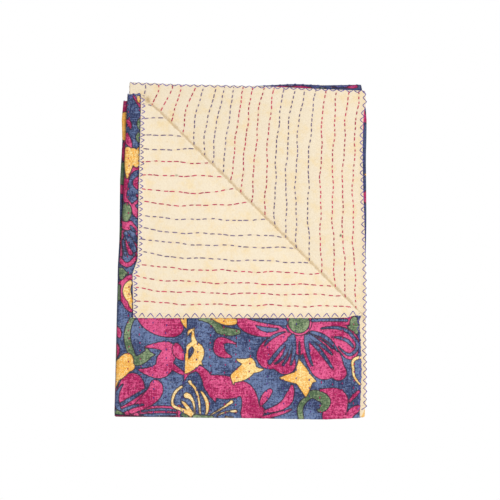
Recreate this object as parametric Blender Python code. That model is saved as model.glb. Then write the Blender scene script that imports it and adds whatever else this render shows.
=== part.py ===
"""A hand-quilted cotton throw, folded for a shelf.

The throw is a printed face cloth and a plain cream back cloth. It is folded in half across the bottom,
with the print outside, and the double strip is then folded to and fro into four panels that lie on each
other. The top panel's upper ply has its corner turned back along a diagonal, which shows the cream back.

Units are metres, +Z is up, and the origin is under the middle of the folded throw.
"""

import math

import bmesh
import bpy
import numpy as np

# Thickness: two cloths make a ply, two plies make the strip, and the strip makes four panels.
CLOTH = 0.0010
CLOTH_GAP = 0.0003
PLY = 2 * CLOTH + CLOTH_GAP
PLY_GAP = 0.0010
STRIP = 2 * PLY + PLY_GAP
PANEL_GAP = 0.0010
PANELS = 4

# Quilting: rows of running stitches run up the top panel, and the cloth stands up between them.
QUILT_ROWS = 20
QUILT_RISE = 0.00035

# Bends: the radius at the middle of what bends, and the flat facets that a half turn is made of.
PLY_BEND = (PLY + PLY_GAP) / 2
STRIP_BEND = (STRIP + PANEL_GAP) / 2
STRIP_FACETS = 5
HEM_FACETS = 3
CORNER_FACETS = 3

# The turned-back corner's crease is the line x + y = CREASE on the top panel.
CREASE = 0.1064

# The four panels lie from right to left and back. "panel" is 0 at the free edge of the top panel,
# 1, 2 and 3 at the folds and 4 at the bottom panel's free edge. "over" is the height of the cut edge
# of the ply that is uppermost in the top panel, and "under" that of the ply beneath it.
CUT_EDGES = np.array(
    [
        (0.00, 0.3030, 0.2950),
        (0.10, 0.3036, 0.2966),
        (0.19, 0.3041, 0.2983),
        (0.25, 0.2947, 0.2992),
        (0.40, 0.2940, 0.3025),
        (0.58, 0.2925, 0.3045),
        (0.79, 0.2900, 0.3064),
        (1.00, 0.2882, 0.3104),
        (1.17, 0.2892, 0.3045),
        (1.42, 0.2915, 0.3015),
        (1.58, 0.2930, 0.3047),
        (1.72, 0.2945, 0.3080),
        (1.86, 0.2960, 0.3047),
        (2.00, 0.2975, 0.3065),
        (2.25, 0.2930, 0.2990),
        (2.70, 0.2930, 0.2960),
        (3.00, 0.2770, 0.2734),
        (3.30, 0.2930, 0.2930),
        (4.00, 0.2940, 0.2950),
    ],
    dtype=[("panel", float), ("over", float), ("under", float)],
)

# Height of the fold across the bottom, along the same panels.
BOTTOM_FOLD = np.array(
    [
        (0.00, -0.3075),
        (0.08, -0.3097),
        (0.16, -0.3106),
        (0.27, -0.3099),
        (0.50, -0.3080),
        (0.67, -0.3075),
        (0.83, -0.3056),
        (0.94, -0.3028),
        (1.00, -0.3005),
        (1.20, -0.3040),
        (2.00, -0.3075),
        (2.60, -0.3080),
        (3.00, -0.3070),
        (4.00, -0.3060),
    ],
    dtype=[("panel", float), ("y", float)],
)

# How far left the upper and the lower left fold reach at each height.
LEFT_FOLDS = np.array(
    [
        (-0.310, -0.2305, -0.2325),
        (-0.296, -0.2318, -0.2333),
        (-0.193, -0.2281, -0.2305),
        (-0.091, -0.2263, -0.2283),
        (-0.028, -0.2235, -0.2268),
        (0.020, -0.2192, -0.2240),
        (0.131, -0.2146, -0.2226),
        (0.203, -0.2118, -0.2185),
        (0.242, -0.2105, -0.2198),
        (0.277, -0.2085, -0.2165),
        (0.310, -0.2075, -0.2150),
    ],
    dtype=[("y", float), ("upper", float), ("lower", float)],
)

# How far right each right-hand edge reaches at each height: the top panel's "over" and "under" plies,
# the fold between the second and third panels, and the bottom panel's free edge.
RIGHT_EDGES = np.array(
    [
        (-0.3075, 0.2196, 0.2215, 0.2298, 0.2250),
        (-0.3000, 0.2200, 0.2262, 0.2300, 0.2252),
        (-0.2850, 0.2206, 0.2318, 0.2305, 0.2260),
        (-0.2205, 0.2233, 0.2318, 0.2305, 0.2265),
        (-0.1669, 0.2214, 0.2308, 0.2300, 0.2265),
        (-0.1262, 0.2188, 0.2310, 0.2302, 0.2270),
        (-0.1150, 0.2256, 0.2312, 0.2303, 0.2270),
        (-0.1026, 0.2250, 0.2313, 0.2304, 0.2270),
        (-0.0900, 0.2290, 0.2314, 0.2306, 0.2270),
        (-0.0540, 0.2298, 0.2312, 0.2308, 0.2270),
        (0.0000, 0.2298, 0.2300, 0.2320, 0.2270),
        (0.0570, 0.2298, 0.2286, 0.2330, 0.2270),
        (0.1100, 0.2298, 0.2266, 0.2326, 0.2270),
        (0.1680, 0.2298, 0.2253, 0.2322, 0.2265),
        (0.2235, 0.2298, 0.2258, 0.2333, 0.2260),
        (0.2550, 0.2298, 0.2272, 0.2333, 0.2260),
        (0.2720, 0.2298, 0.2314, 0.2296, 0.2255),
        (0.3050, 0.2295, 0.2290, 0.2235, 0.2240),
    ],
    dtype=[
        ("y", float),
        ("over", float),
        ("under", float),
        ("fold", float),
        ("last", float),
    ],
)

# Where the rows of the cloth's grid lie, as shares of the way from the bottom fold to the cut edge.
ROW_SHARES = (0.012, 0.037, 0.14, 0.23, 0.30, 0.345, 0.39, 0.56, 0.78, 0.90, 0.99, 1.0)

# How many columns of that grid each panel has: a row of stitches and a ridge for each row of the quilting
# in the top panel, and fewer where nothing shows.
COLUMNS = (2 * QUILT_ROWS, 8, 4, 4)

COLLECTION = "folded_quilted_throw"


def clear_scene():
    """Remove the objects that Blender starts with."""
    for thing in list(bpy.data.objects):
        bpy.data.objects.remove(thing, do_unlink=True)


def read_table(table, column, at):
    """A column of a table, read between its rows."""
    return np.interp(at, table[table.dtype.names[0]], table[column])


def half_turn(middle, radius, first, sweep, facets):
    """Corner points of a bend whose flat facets all lie at the radius from its middle."""
    steps = facets + 1
    angle = first + sweep * (np.arange(steps) + 0.5) / steps
    reach = radius / math.cos(sweep / 2 / steps)
    return np.stack(
        [middle[0] + reach * np.cos(angle), middle[1] + reach * np.sin(angle)], axis=1
    )


def mitres(points):
    """A vector at each point of a line that moves the line sideways by one, every run kept parallel."""
    runs = np.diff(points, axis=0)
    runs /= np.linalg.norm(runs, axis=1)[:, None]
    sides = np.stack([runs[:, 1], -runs[:, 0]], axis=1)
    before = np.vstack([sides[:1], sides])
    after = np.vstack([sides, sides[-1:]])
    return (before + after) / (1 + (before * after).sum(axis=1))[:, None]


def hem_rows():
    """The cloth's rows, from the upper ply's cut edge, round the bottom fold, to the lower ply's.

    Each row has its share of the way up, its place beside the bend's middle, its height, its mitre,
    whether the quilting stands up there, and whether it is in the lower ply.
    """
    shares = np.array(ROW_SHARES)
    bend = half_turn((0.0, 0.0), PLY_BEND, math.pi / 2, math.pi, HEM_FACETS)
    over = np.stack([shares[::-1], np.full(len(shares), PLY_BEND)], axis=1)
    under = np.stack([shares, np.full(len(shares), -PLY_BEND)], axis=1)
    line = np.vstack([over, bend, under])
    none = np.zeros(len(bend))
    share = np.concatenate([shares[::-1], none, shares])
    return {
        "share": share,
        "beside": np.concatenate([0 * shares, bend[:, 0], 0 * shares]),
        "height": line[:, 1],
        "mitre": mitres(line),
        "quilted": (share > 0) & (share < 1),
        "under": np.arange(len(line)) >= len(shares) + len(bend) // 2,
    }


def panel_columns():
    """The strip's columns, from the top panel's free edge over the three side folds to the last edge.

    Each column has its panel number, its share of the way left, its place beside the fold's middle,
    its height, its mitre, the quilting's rise there, and the number of the panel that it belongs to.
    """
    pitch = STRIP + PANEL_GAP
    panel, share, beside, height, corner = [], [], [], [], []
    for number in range(PANELS):
        stops = np.linspace(0.0, 1.0, COLUMNS[number] + 1)
        free = [0] * (number == 0) + [len(stops) - 1] * (number == PANELS - 1)
        inner = [i for i in range(len(stops)) if 0 < i < len(stops) - 1 or i in free]
        for stop in stops[inner]:
            panel.append(number + stop)
            share.append(stop if number % 2 == 0 else 1 - stop)
            beside.append(0.0)
            height.append(STRIP / 2 + (PANELS - 1 - number) * pitch)
            corner.append(number)
        if number == PANELS - 1:
            break
        side = 1 if number % 2 == 0 else -1
        middle = (0.0, height[-1] - STRIP_BEND)
        bend = half_turn(middle, STRIP_BEND, math.pi / 2, side * math.pi, STRIP_FACETS)
        for step, (across, up) in enumerate(bend):
            panel.append(number + 1.0)
            share.append(1.0 if side == 1 else 0.0)
            beside.append(across)
            height.append(up)
            corner.append(number + (step > STRIP_FACETS // 2))
    panel, share, beside = np.array(panel), np.array(share), np.array(beside)
    line = np.stack([beside - share, np.array(height)], axis=1)
    ridge = np.round(panel * COLUMNS[0]) % 2 == 0
    return {
        "panel": panel,
        "share": share,
        "beside": beside,
        "height": np.array(height),
        "mitre": mitres(line),
        "rise": QUILT_RISE * (ridge & (panel > 0) & (panel < 1)),
        "number": np.array(corner),
    }


def fold_strip(rows, columns, depth):
    """Places of the cloth's points, depth above the middle of its ply: columns by rows by x, y, z.

    A surface that is the ply's outside stands up between the rows of stitches.
    """
    if abs(depth) == PLY / 2:
        depth = depth + math.copysign(1, depth) * columns["rise"][:, None] * rows["quilted"]
    under = rows["under"][None, :]
    middle = read_table(BOTTOM_FOLD, "y", columns["panel"]) + PLY_BEND + PLY / 2
    cut = np.where(
        under,
        read_table(CUT_EDGES, "under", columns["panel"])[:, None],
        read_table(CUT_EDGES, "over", columns["panel"])[:, None],
    )
    y = middle[:, None] + rows["share"] * (cut - middle[:, None])
    y = y + rows["beside"] + depth * rows["mitre"][:, 0]
    offset = rows["height"] + depth * rows["mitre"][:, 1]

    number = columns["number"][:, None]
    half = STRIP_BEND + STRIP / 2
    left = half + np.where(
        number < 2,
        read_table(LEFT_FOLDS, "upper", y),
        read_table(LEFT_FOLDS, "lower", y),
    )
    right = np.select(
        [(number == 0) & ~under, (number == 0) & under, number == PANELS - 1],
        [
            read_table(RIGHT_EDGES, "over", y),
            read_table(RIGHT_EDGES, "under", y),
            read_table(RIGHT_EDGES, "last", y),
        ],
        read_table(RIGHT_EDGES, "fold", y) - half,
    )
    x = right + columns["share"][:, None] * (left - right) + columns["beside"][:, None]
    x = x + offset * columns["mitre"][:, :1]
    z = columns["height"][:, None] + offset * columns["mitre"][:, 1:]
    return np.stack([x, y, np.broadcast_to(z, x.shape)], axis=2)


def corner_path():
    """The line that the turned-back corner follows, as distance past the bend's middle and height."""
    bend = half_turn(
        (0.0, PLY_BEND), PLY_BEND, -math.pi / 2, math.pi, CORNER_FACETS
    )
    far = 1.0
    line = np.vstack([[-far, 0.0], bend, [-far, 2 * PLY_BEND]])
    length = np.concatenate(
        [[0.0], np.cumsum(np.linalg.norm(np.diff(line, axis=0), axis=1))]
    )
    return line, length - far, mitres(line)


def turn_corner(mesh):
    """Cut the top ply along the crease and turn what lies beyond it back over the ply."""
    top = STRIP / 2 + (PANELS - 1) * (STRIP + PANEL_GAP) + PLY_BEND
    floor = top - PLY / 2 - PLY_GAP / 2
    line, stations, sideways = corner_path()
    across = np.array([1.0, 1.0]) / math.sqrt(2)
    start = CREASE / math.sqrt(2) - PLY_BEND - PLY / 2
    for station in stations[1:-1]:
        faces = [f for f in mesh.faces if all(v.co.z > floor for v in f.verts)]
        edges = {e for f in faces for e in f.edges}
        verts = {v for f in faces for v in f.verts}
        place = across * (start + station)
        bmesh.ops.bisect_plane(
            mesh,
            geom=[*verts, *edges, *faces],
            dist=1e-7,
            plane_co=(place[0], place[1], top),
            plane_no=(across[0], across[1], 0.0),
        )
    for vert in mesh.verts:
        past = vert.co.x * across[0] + vert.co.y * across[1] - start
        if vert.co.z > floor and past > stations[1]:
            depth = top - vert.co.z
            place = [
                np.interp(past, stations, line[:, axis])
                + depth * np.interp(past, stations, sideways[:, axis])
                for axis in (0, 1)
            ]
            vert.co.x += (place[0] - past) * across[0]
            vert.co.y += (place[0] - past) * across[1]
            vert.co.z = top + place[1]


def make_material(name, colour, roughness):
    """A plain cloth finish."""
    material = bpy.data.materials.new(name)
    material.use_nodes = True
    surface = material.node_tree.nodes["Principled BSDF"]
    surface.inputs["Base Color"].default_value = (*colour, 1.0)
    surface.inputs["Roughness"].default_value = roughness
    surface.inputs["Metallic"].default_value = 0.0
    return material


def make_cloth(name, inner, outer, material, collection):
    """One folded cloth between two depths from the middle of its ply.

    A flat grid is thickened, each of its points is moved to its folded place, and the corner is turned.
    """
    rows, columns = hem_rows(), panel_columns()
    across, up = len(columns["panel"]) - 1, len(rows["share"]) - 1
    mesh = bmesh.new()
    bmesh.ops.create_grid(mesh, x_segments=across, y_segments=up, size=0.5)
    made = bmesh.ops.extrude_face_region(mesh, geom=mesh.faces[:])
    for item in made["geom"]:
        if isinstance(item, bmesh.types.BMVert):
            item.co.z = 1.0
    places = [fold_strip(rows, columns, depth) for depth in (inner, outer)]
    for vert in mesh.verts:
        column = round((vert.co.x + 0.5) * across)
        row = round((vert.co.y + 0.5) * up)
        vert.co = places[round(vert.co.z)][column, row]
    turn_corner(mesh)
    bmesh.ops.recalc_face_normals(mesh, faces=mesh.faces)
    data = bpy.data.meshes.new(name)
    mesh.to_mesh(data)
    mesh.free()
    data.materials.append(material)
    data.shade_smooth()
    data.set_sharp_from_angle(angle=math.radians(50))
    cloth = bpy.data.objects.new(name, data)
    collection.objects.link(cloth)
    return cloth


def main():
    clear_scene()
    collection = bpy.data.collections.new(COLLECTION)
    bpy.context.scene.collection.children.link(collection)
    make_cloth(
        "printed_face",
        CLOTH_GAP / 2,
        PLY / 2,
        make_material("printed_cotton", (0.30, 0.10, 0.22), 0.85),
        collection,
    )
    make_cloth(
        "cream_back",
        -PLY / 2,
        -CLOTH_GAP / 2,
        make_material("cream_cotton", (0.88, 0.77, 0.56), 0.88),
        collection,
    )


main()
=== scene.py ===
"""Looks of a hand-quilted cotton throw, folded for a shelf and seen from straight above.

Two cloths, a printed face and a cream back, are folded together by one map from the flat cloth to its
folded place. It is the fold of the CAD source with finer bends. Every stitch goes through the same map,
so it lies on the cloth wherever the cloth goes.

A point of the cloth is (along, up, depth) in metres: along from the top panel's free edge over the side
folds, up from the middle of the bottom fold (above it the top panel's upper ply, below it the ply under
that), and depth from the middle of the two cloths, positive towards the print.
"""

import math

import bmesh
import bpy
import numpy as np
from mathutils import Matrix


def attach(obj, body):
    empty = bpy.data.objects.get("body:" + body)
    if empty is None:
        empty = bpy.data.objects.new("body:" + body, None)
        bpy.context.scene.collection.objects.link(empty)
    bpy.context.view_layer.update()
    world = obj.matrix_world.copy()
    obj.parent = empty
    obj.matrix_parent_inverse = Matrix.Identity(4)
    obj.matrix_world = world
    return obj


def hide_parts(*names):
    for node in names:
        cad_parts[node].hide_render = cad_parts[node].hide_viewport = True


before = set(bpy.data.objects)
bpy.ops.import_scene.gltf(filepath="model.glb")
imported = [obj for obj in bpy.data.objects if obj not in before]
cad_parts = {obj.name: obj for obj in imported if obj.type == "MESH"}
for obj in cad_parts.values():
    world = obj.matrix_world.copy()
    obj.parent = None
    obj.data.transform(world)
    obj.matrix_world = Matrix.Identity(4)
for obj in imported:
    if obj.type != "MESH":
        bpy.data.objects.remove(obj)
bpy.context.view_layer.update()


def table(columns, rows):
    """Rows of numbers under named columns."""
    return np.array(rows, dtype=[(name, float) for name in columns])


# The folded form, with the source's sizes.
CLOTH = 0.0010
CLOTH_GAP = 0.0003
PLY = 2 * CLOTH + CLOTH_GAP
PLY_GAP = 0.0010
STRIP = 2 * PLY + PLY_GAP
PANEL_GAP = 0.0010
PANELS = 4
PLY_BEND = (PLY + PLY_GAP) / 2
STRIP_BEND = (STRIP + PANEL_GAP) / 2
CREASE = 0.1064
TOP = STRIP / 2 + (PANELS - 1) * (STRIP + PANEL_GAP) + PLY_BEND

# How far the turned corner stands up at its crease and at its cut edges, and how far in that reaches.
CREASE_PUFF = 0.0026
CREASE_SPREAD = 0.013
EDGE_PUFF = 0.0022
EDGE_SPREAD = 0.011

# The slight waves of the plies that nothing holds down: their shortest and longest lengths, how high they
# stand on the corner, on the ply that the corner came from and on the print below the corner, and below
# which height and over how much of it they set in there.
WAVE_LENGTHS = (0.045, 0.16)
CORNER_WAVE = 0.0011
BELOW_WAVE = 0.0009
APRON_WAVE = 0.0012
APRON_TOP = -0.135
APRON_EASE = 0.03

# The tan line of painted shade along the crease: how far it sags at its upper end and bows at its lower
# one, each with the two places across between which that sets in, and the places between which the line
# fades out.
CREASE_SAG = 0.0045
SAG_LEFT_OF = (0.146, 0.176)
CREASE_BOW = 0.0030
BOW_RIGHT_OF = (0.195, 0.225)
CREASE_FADE = (-0.194, -0.174)

# The flat cloth: the length of one panel and of one ply between their bends, and of the bends.
PANEL_RUN = 0.4430
PLY_RUN = 0.6070
FOLD_RUN = math.pi * STRIP_BEND
HEM_RUN = math.pi * PLY_BEND
ALONG_END = PANELS * PANEL_RUN + (PANELS - 1) * FOLD_RUN
UP_END = HEM_RUN / 2 + PLY_RUN

# Flat facets in a half turn, finer than the source's.
STRIP_FACETS = 12
HEM_FACETS = 8
CORNER_FACETS = 8

# Where the cut edges are up the throw, by the number of panels along: the upper ply's and the lower ply's.
CUT_EDGES = table(
    ("panel", "over", "under"),
    [
        (0.00, 0.3030, 0.2950),
        (0.10, 0.3036, 0.2966),
        (0.19, 0.3041, 0.2983),
        (0.25, 0.2947, 0.2992),
        (0.40, 0.2940, 0.3025),
        (0.58, 0.2925, 0.3045),
        (0.79, 0.2900, 0.3064),
        (1.00, 0.2882, 0.3104),
        (1.17, 0.2892, 0.3045),
        (1.42, 0.2915, 0.3015),
        (1.58, 0.2930, 0.3047),
        (1.72, 0.2945, 0.3080),
        (1.86, 0.2960, 0.3047),
        (2.00, 0.2975, 0.3065),
        (2.25, 0.2930, 0.2990),
        (2.70, 0.2930, 0.2960),
        (3.00, 0.2770, 0.2734),
        (3.30, 0.2930, 0.2930),
        (4.00, 0.2940, 0.2950),
    ],
)
# Where the bottom fold is, by the number of panels along.
BOTTOM_FOLD = table(
    ("panel", "y"),
    [
        (0.00, -0.3075),
        (0.08, -0.3097),
        (0.16, -0.3106),
        (0.27, -0.3099),
        (0.50, -0.3080),
        (0.67, -0.3075),
        (0.83, -0.3056),
        (0.94, -0.3028),
        (1.00, -0.3005),
        (1.20, -0.3040),
        (2.00, -0.3075),
        (2.60, -0.3080),
        (3.00, -0.3070),
        (4.00, -0.3060),
    ],
)
# Where the two left folds reach, by height: the one that joins the upper two panels, and the lower one.
LEFT_FOLDS = table(
    ("y", "upper", "lower"),
    [
        (-0.310, -0.2305, -0.2325),
        (-0.296, -0.2318, -0.2333),
        (-0.193, -0.2281, -0.2305),
        (-0.091, -0.2263, -0.2283),
        (-0.028, -0.2235, -0.2268),
        (0.020, -0.2192, -0.2240),
        (0.131, -0.2146, -0.2226),
        (0.203, -0.2118, -0.2185),
        (0.242, -0.2105, -0.2198),
        (0.277, -0.2085, -0.2165),
        (0.310, -0.2075, -0.2150),
    ],
)
# Where the right edges are, by height: the free edges of the top panel's upper ply and lower ply, the fold
# of the middle two panels, and the last panel's free edge.
RIGHT_EDGES = table(
    ("y", "over", "under", "fold", "last"),
    [
        (-0.3075, 0.2196, 0.2215, 0.2298, 0.2250),
        (-0.3000, 0.2200, 0.2262, 0.2300, 0.2252),
        (-0.2850, 0.2206, 0.2318, 0.2305, 0.2260),
        (-0.2205, 0.2233, 0.2318, 0.2305, 0.2265),
        (-0.1669, 0.2214, 0.2308, 0.2300, 0.2265),
        (-0.1262, 0.2188, 0.2310, 0.2302, 0.2270),
        (-0.1150, 0.2256, 0.2312, 0.2303, 0.2270),
        (-0.1026, 0.2250, 0.2313, 0.2304, 0.2270),
        (-0.0900, 0.2290, 0.2314, 0.2306, 0.2270),
        (-0.0540, 0.2298, 0.2312, 0.2308, 0.2270),
        (0.0000, 0.2298, 0.2300, 0.2320, 0.2270),
        (0.0570, 0.2298, 0.2286, 0.2330, 0.2270),
        (0.1100, 0.2298, 0.2266, 0.2326, 0.2270),
        (0.1680, 0.2298, 0.2253, 0.2322, 0.2265),
        (0.2235, 0.2298, 0.2258, 0.2333, 0.2260),
        (0.2550, 0.2298, 0.2272, 0.2333, 0.2260),
        (0.2720, 0.2298, 0.2314, 0.2296, 0.2255),
        (0.3050, 0.2295, 0.2290, 0.2235, 0.2240),
    ],
)

# Rows of running stitches on the top panel, by the place across it where each one crosses the crease and
# where it reaches the cut edge. "bow" is how far it bows out between those, and "red" is 1 for red thread
# and 0 for grey-violet.
UPPER_ROWS = table(
    ("crease", "edge", "bow", "red"),
    [
        (-0.228, -0.228, 0.000, 0),
        (-0.206, -0.206, 0.000, 1),
        (-0.184, -0.184, 0.000, 1),
        (-0.160, -0.162, -0.002, 0),
        (-0.136, -0.138, 0.000, 0),
        (-0.105, -0.106, 0.000, 0),
        (-0.080, -0.081, 0.000, 0),
        (-0.055, -0.060, 0.000, 1),
        (-0.029, -0.032, -0.002, 1),
        (-0.007, -0.011, 0.008, 1),
        (0.017, 0.015, 0.007, 1),
        (0.050, 0.041, 0.001, 0),
        (0.080, 0.063, 0.000, 0),
        (0.102, 0.081, 0.000, 0),
        (0.128, 0.106, 0.000, 0),
        (0.148, 0.129, 0.000, 1),
        (0.170, 0.153, 0.000, 1),
        (0.188, 0.175, 0.000, 1),
        (0.209, 0.198, 0.000, 1),
    ],
)
LOWER_ROWS = table(
    ("crease", "edge", "bow", "red"),
    [
        (-0.205, -0.202, 0.000, 0),
        (-0.180, -0.176, 0.000, 0),
        (-0.165, -0.152, 0.000, 1),
        (-0.150, -0.128, 0.000, 1),
        (-0.130, -0.110, 0.000, 1),
        (-0.108, -0.084, -0.003, 1),
        (-0.087, -0.070, -0.002, 0),
        (-0.067, -0.045, -0.003, 0),
        (-0.052, -0.030, 0.000, 0),
        (-0.034, -0.012, 0.003, 0),
        (-0.019, 0.005, 0.004, 1),
        (0.000, 0.023, 0.003, 1),
        (0.020, 0.042, 0.002, 1),
        (0.045, 0.062, 0.000, 1),
        (0.063, 0.081, -0.002, 0),
        (0.085, 0.100, -0.004, 0),
        (0.104, 0.118, -0.005, 0),
        (0.127, 0.140, -0.005, 0),
        (0.149, 0.156, -0.003, 1),
        (0.175, 0.178, -0.006, 1),
        (0.195, 0.200, -0.008, 1),
        (0.214, 0.219, -0.008, 1),
    ],
)

# The even pitch of the rows elsewhere, the height at which a row is at its "edge" place, how close to that
# its lean sets in, and how it wanders: how far, in waves how long, with a second wave this much shorter,
# and how fast the waves go out of step from row to row, in radians a metre across.
ROW_PITCH = 0.0222
ROW_TOP = 0.295
ROW_LEAN = 0.040
ROW_WANDER = 0.0012
ROW_WAVE = 0.105
ROW_OVERTONE = 2.3
ROW_PHASE = 400

# The pressed relief between the rows: how deep a row is sewn in, how high the cloth swells away from it,
# how far each reaches, and how high the fine ripples stand on each cloth.
SEWN_DEPTH = 0.00028
SEWN_REACH = 0.0021
PILLOW_HEIGHT = 0.00014
PILLOW_REACH = 0.006
PRINT_RIPPLE = 0.00013
CREAM_RIPPLE = 0.00006
RIPPLE_LENGTHS = (0.0075, 0.020)

# The most that the relief stands out or in, and how far it may sink between the hidden plies.
RELIEF_MOST = 0.00042
HIDDEN_SINK = 0.0002

# A faint pressed pleat up the print: its place across, height and reach.
PLEAT_X = 0.160
PLEAT_HEIGHT = 0.0004
PLEAT_REACH = 0.0022

# How far in from a cut edge the cloth rounds off, how much of its thickness it keeps at the edge, and how
# far in the relief starts.
HEM_REACH = 0.0022
HEM_KEPT = 0.45
RELIEF_START = 0.006

# Small marks on the cream cloth, by place, half their width and half their height. "olive" is 1 for a dark
# olive stain and 0 for a tan one, which is painted shade of the pucker where the corner's fold starts.
STAINS_AND_PUCKER_SHADE = table(
    ("x", "y", "wide", "high", "strength", "olive"),
    [
        (-0.1700, 0.2785, 0.0042, 0.0068, 0.80, 0),
        (0.1848, 0.0282, 0.0025, 0.0028, 1.00, 1),
        (-0.1170, 0.1389, 0.0032, 0.0022, 0.60, 1),
    ],
)

# The print is pieced from two lengths of cloth, each with its own motifs. A motif is a brush stroke: three
# places across and up the top panel, each with half the stroke's width there, all in millimetres.

LEFT_LENGTH = {
    "petal": [
        ((-187, -124, 3), (-156, -132, 20.5), (-125, -137, 22)),
        ((-174, -177, 2), (-134, -178, 11), (-139, -202, 15.5)),
        ((-139, -202, 15.5), (-149, -221, 14), (-186, -219, 2)),
        ((-130, -208, 5.5), (-119, -217, 5.5), (-104, -226, 3.5)),
        ((-199, -245, 20.5), (-204, -267, 24), (-219, -296, 7.5)),
        ((-228, -254, 3.5), (-232, -276, 5.5), (-226, -298, 5.5)),
        ((-208, -304, 5.5), (-167, -296, 10), (-115, -296, 9)),
        ((-228, -139, 1.5), (-224, -148, 5), (-222, -159, 2)),
        ((-229, -167, 2), (-226, -182, 4.5), (-228, -198, 2)),
        ((-75, -91, 3.5), (-112, -73, 15), (-149, -84, 5.5)),
    ],
    "petal_over": [
        ((-156, -248, 11), (-163, -267, 14), (-200, -295, 5.5)),
        ((-117, -172, 3), (-115, -185, 10), (-104, -198, 4.5)),
        ((-113, -287, 3.5), (-112, -296, 3.5), (-112, -309, 3.5)),
    ],
    "slash": [
        ((-216, -246, 1.5), (-227, -269, 3.5), (-221, -298, 4)),
        ((-171, -253, 1.5), (-193, -267, 3.5), (-219, -283, 3.5)),
        ((-178, -283, 1.5), (-199, -287, 3), (-219, -296, 3.5)),
        ((-189, -297, 1), (-152, -292, 2.5), (-119, -294, 2)),
        ((-186, -302, 1), (-149, -301, 2.5), (-119, -301, 2)),
    ],
    "leaf": [
        ((-197, -122, 4), (-208, -152, 6), (-202, -184, 6.5)),
        ((-202, -184, 6.5), (-193, -202, 9), (-173, -193, 9)),
        ((-173, -193, 8.5), (-171, -185, 4.5), (-174, -180, 1.5)),
        ((-173, -193, 7.5), (-165, -191, 4.5), (-158, -191, 1.5)),
        ((-232, -292, 2.5), (-226, -297, 4), (-212, -303, 3)),
    ],
    "gold": [
        ((-104, -124, 6.5), (-102, -132, 5.5), (-99, -141, 2)),
        ((-206, -195, 5.5), (-213, -209, 15), (-226, -232, 7.5)),
        ((-200, -213, 6.5), (-211, -213, 11), (-226, -213, 9)),
        ((-226, -213, 7.5), (-228, -235, 5.5), (-230, -254, 2)),
        ((-186, -63, 3.5), (-174, -84, 11), (-149, -102, 3.5)),
    ],
}
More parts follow.
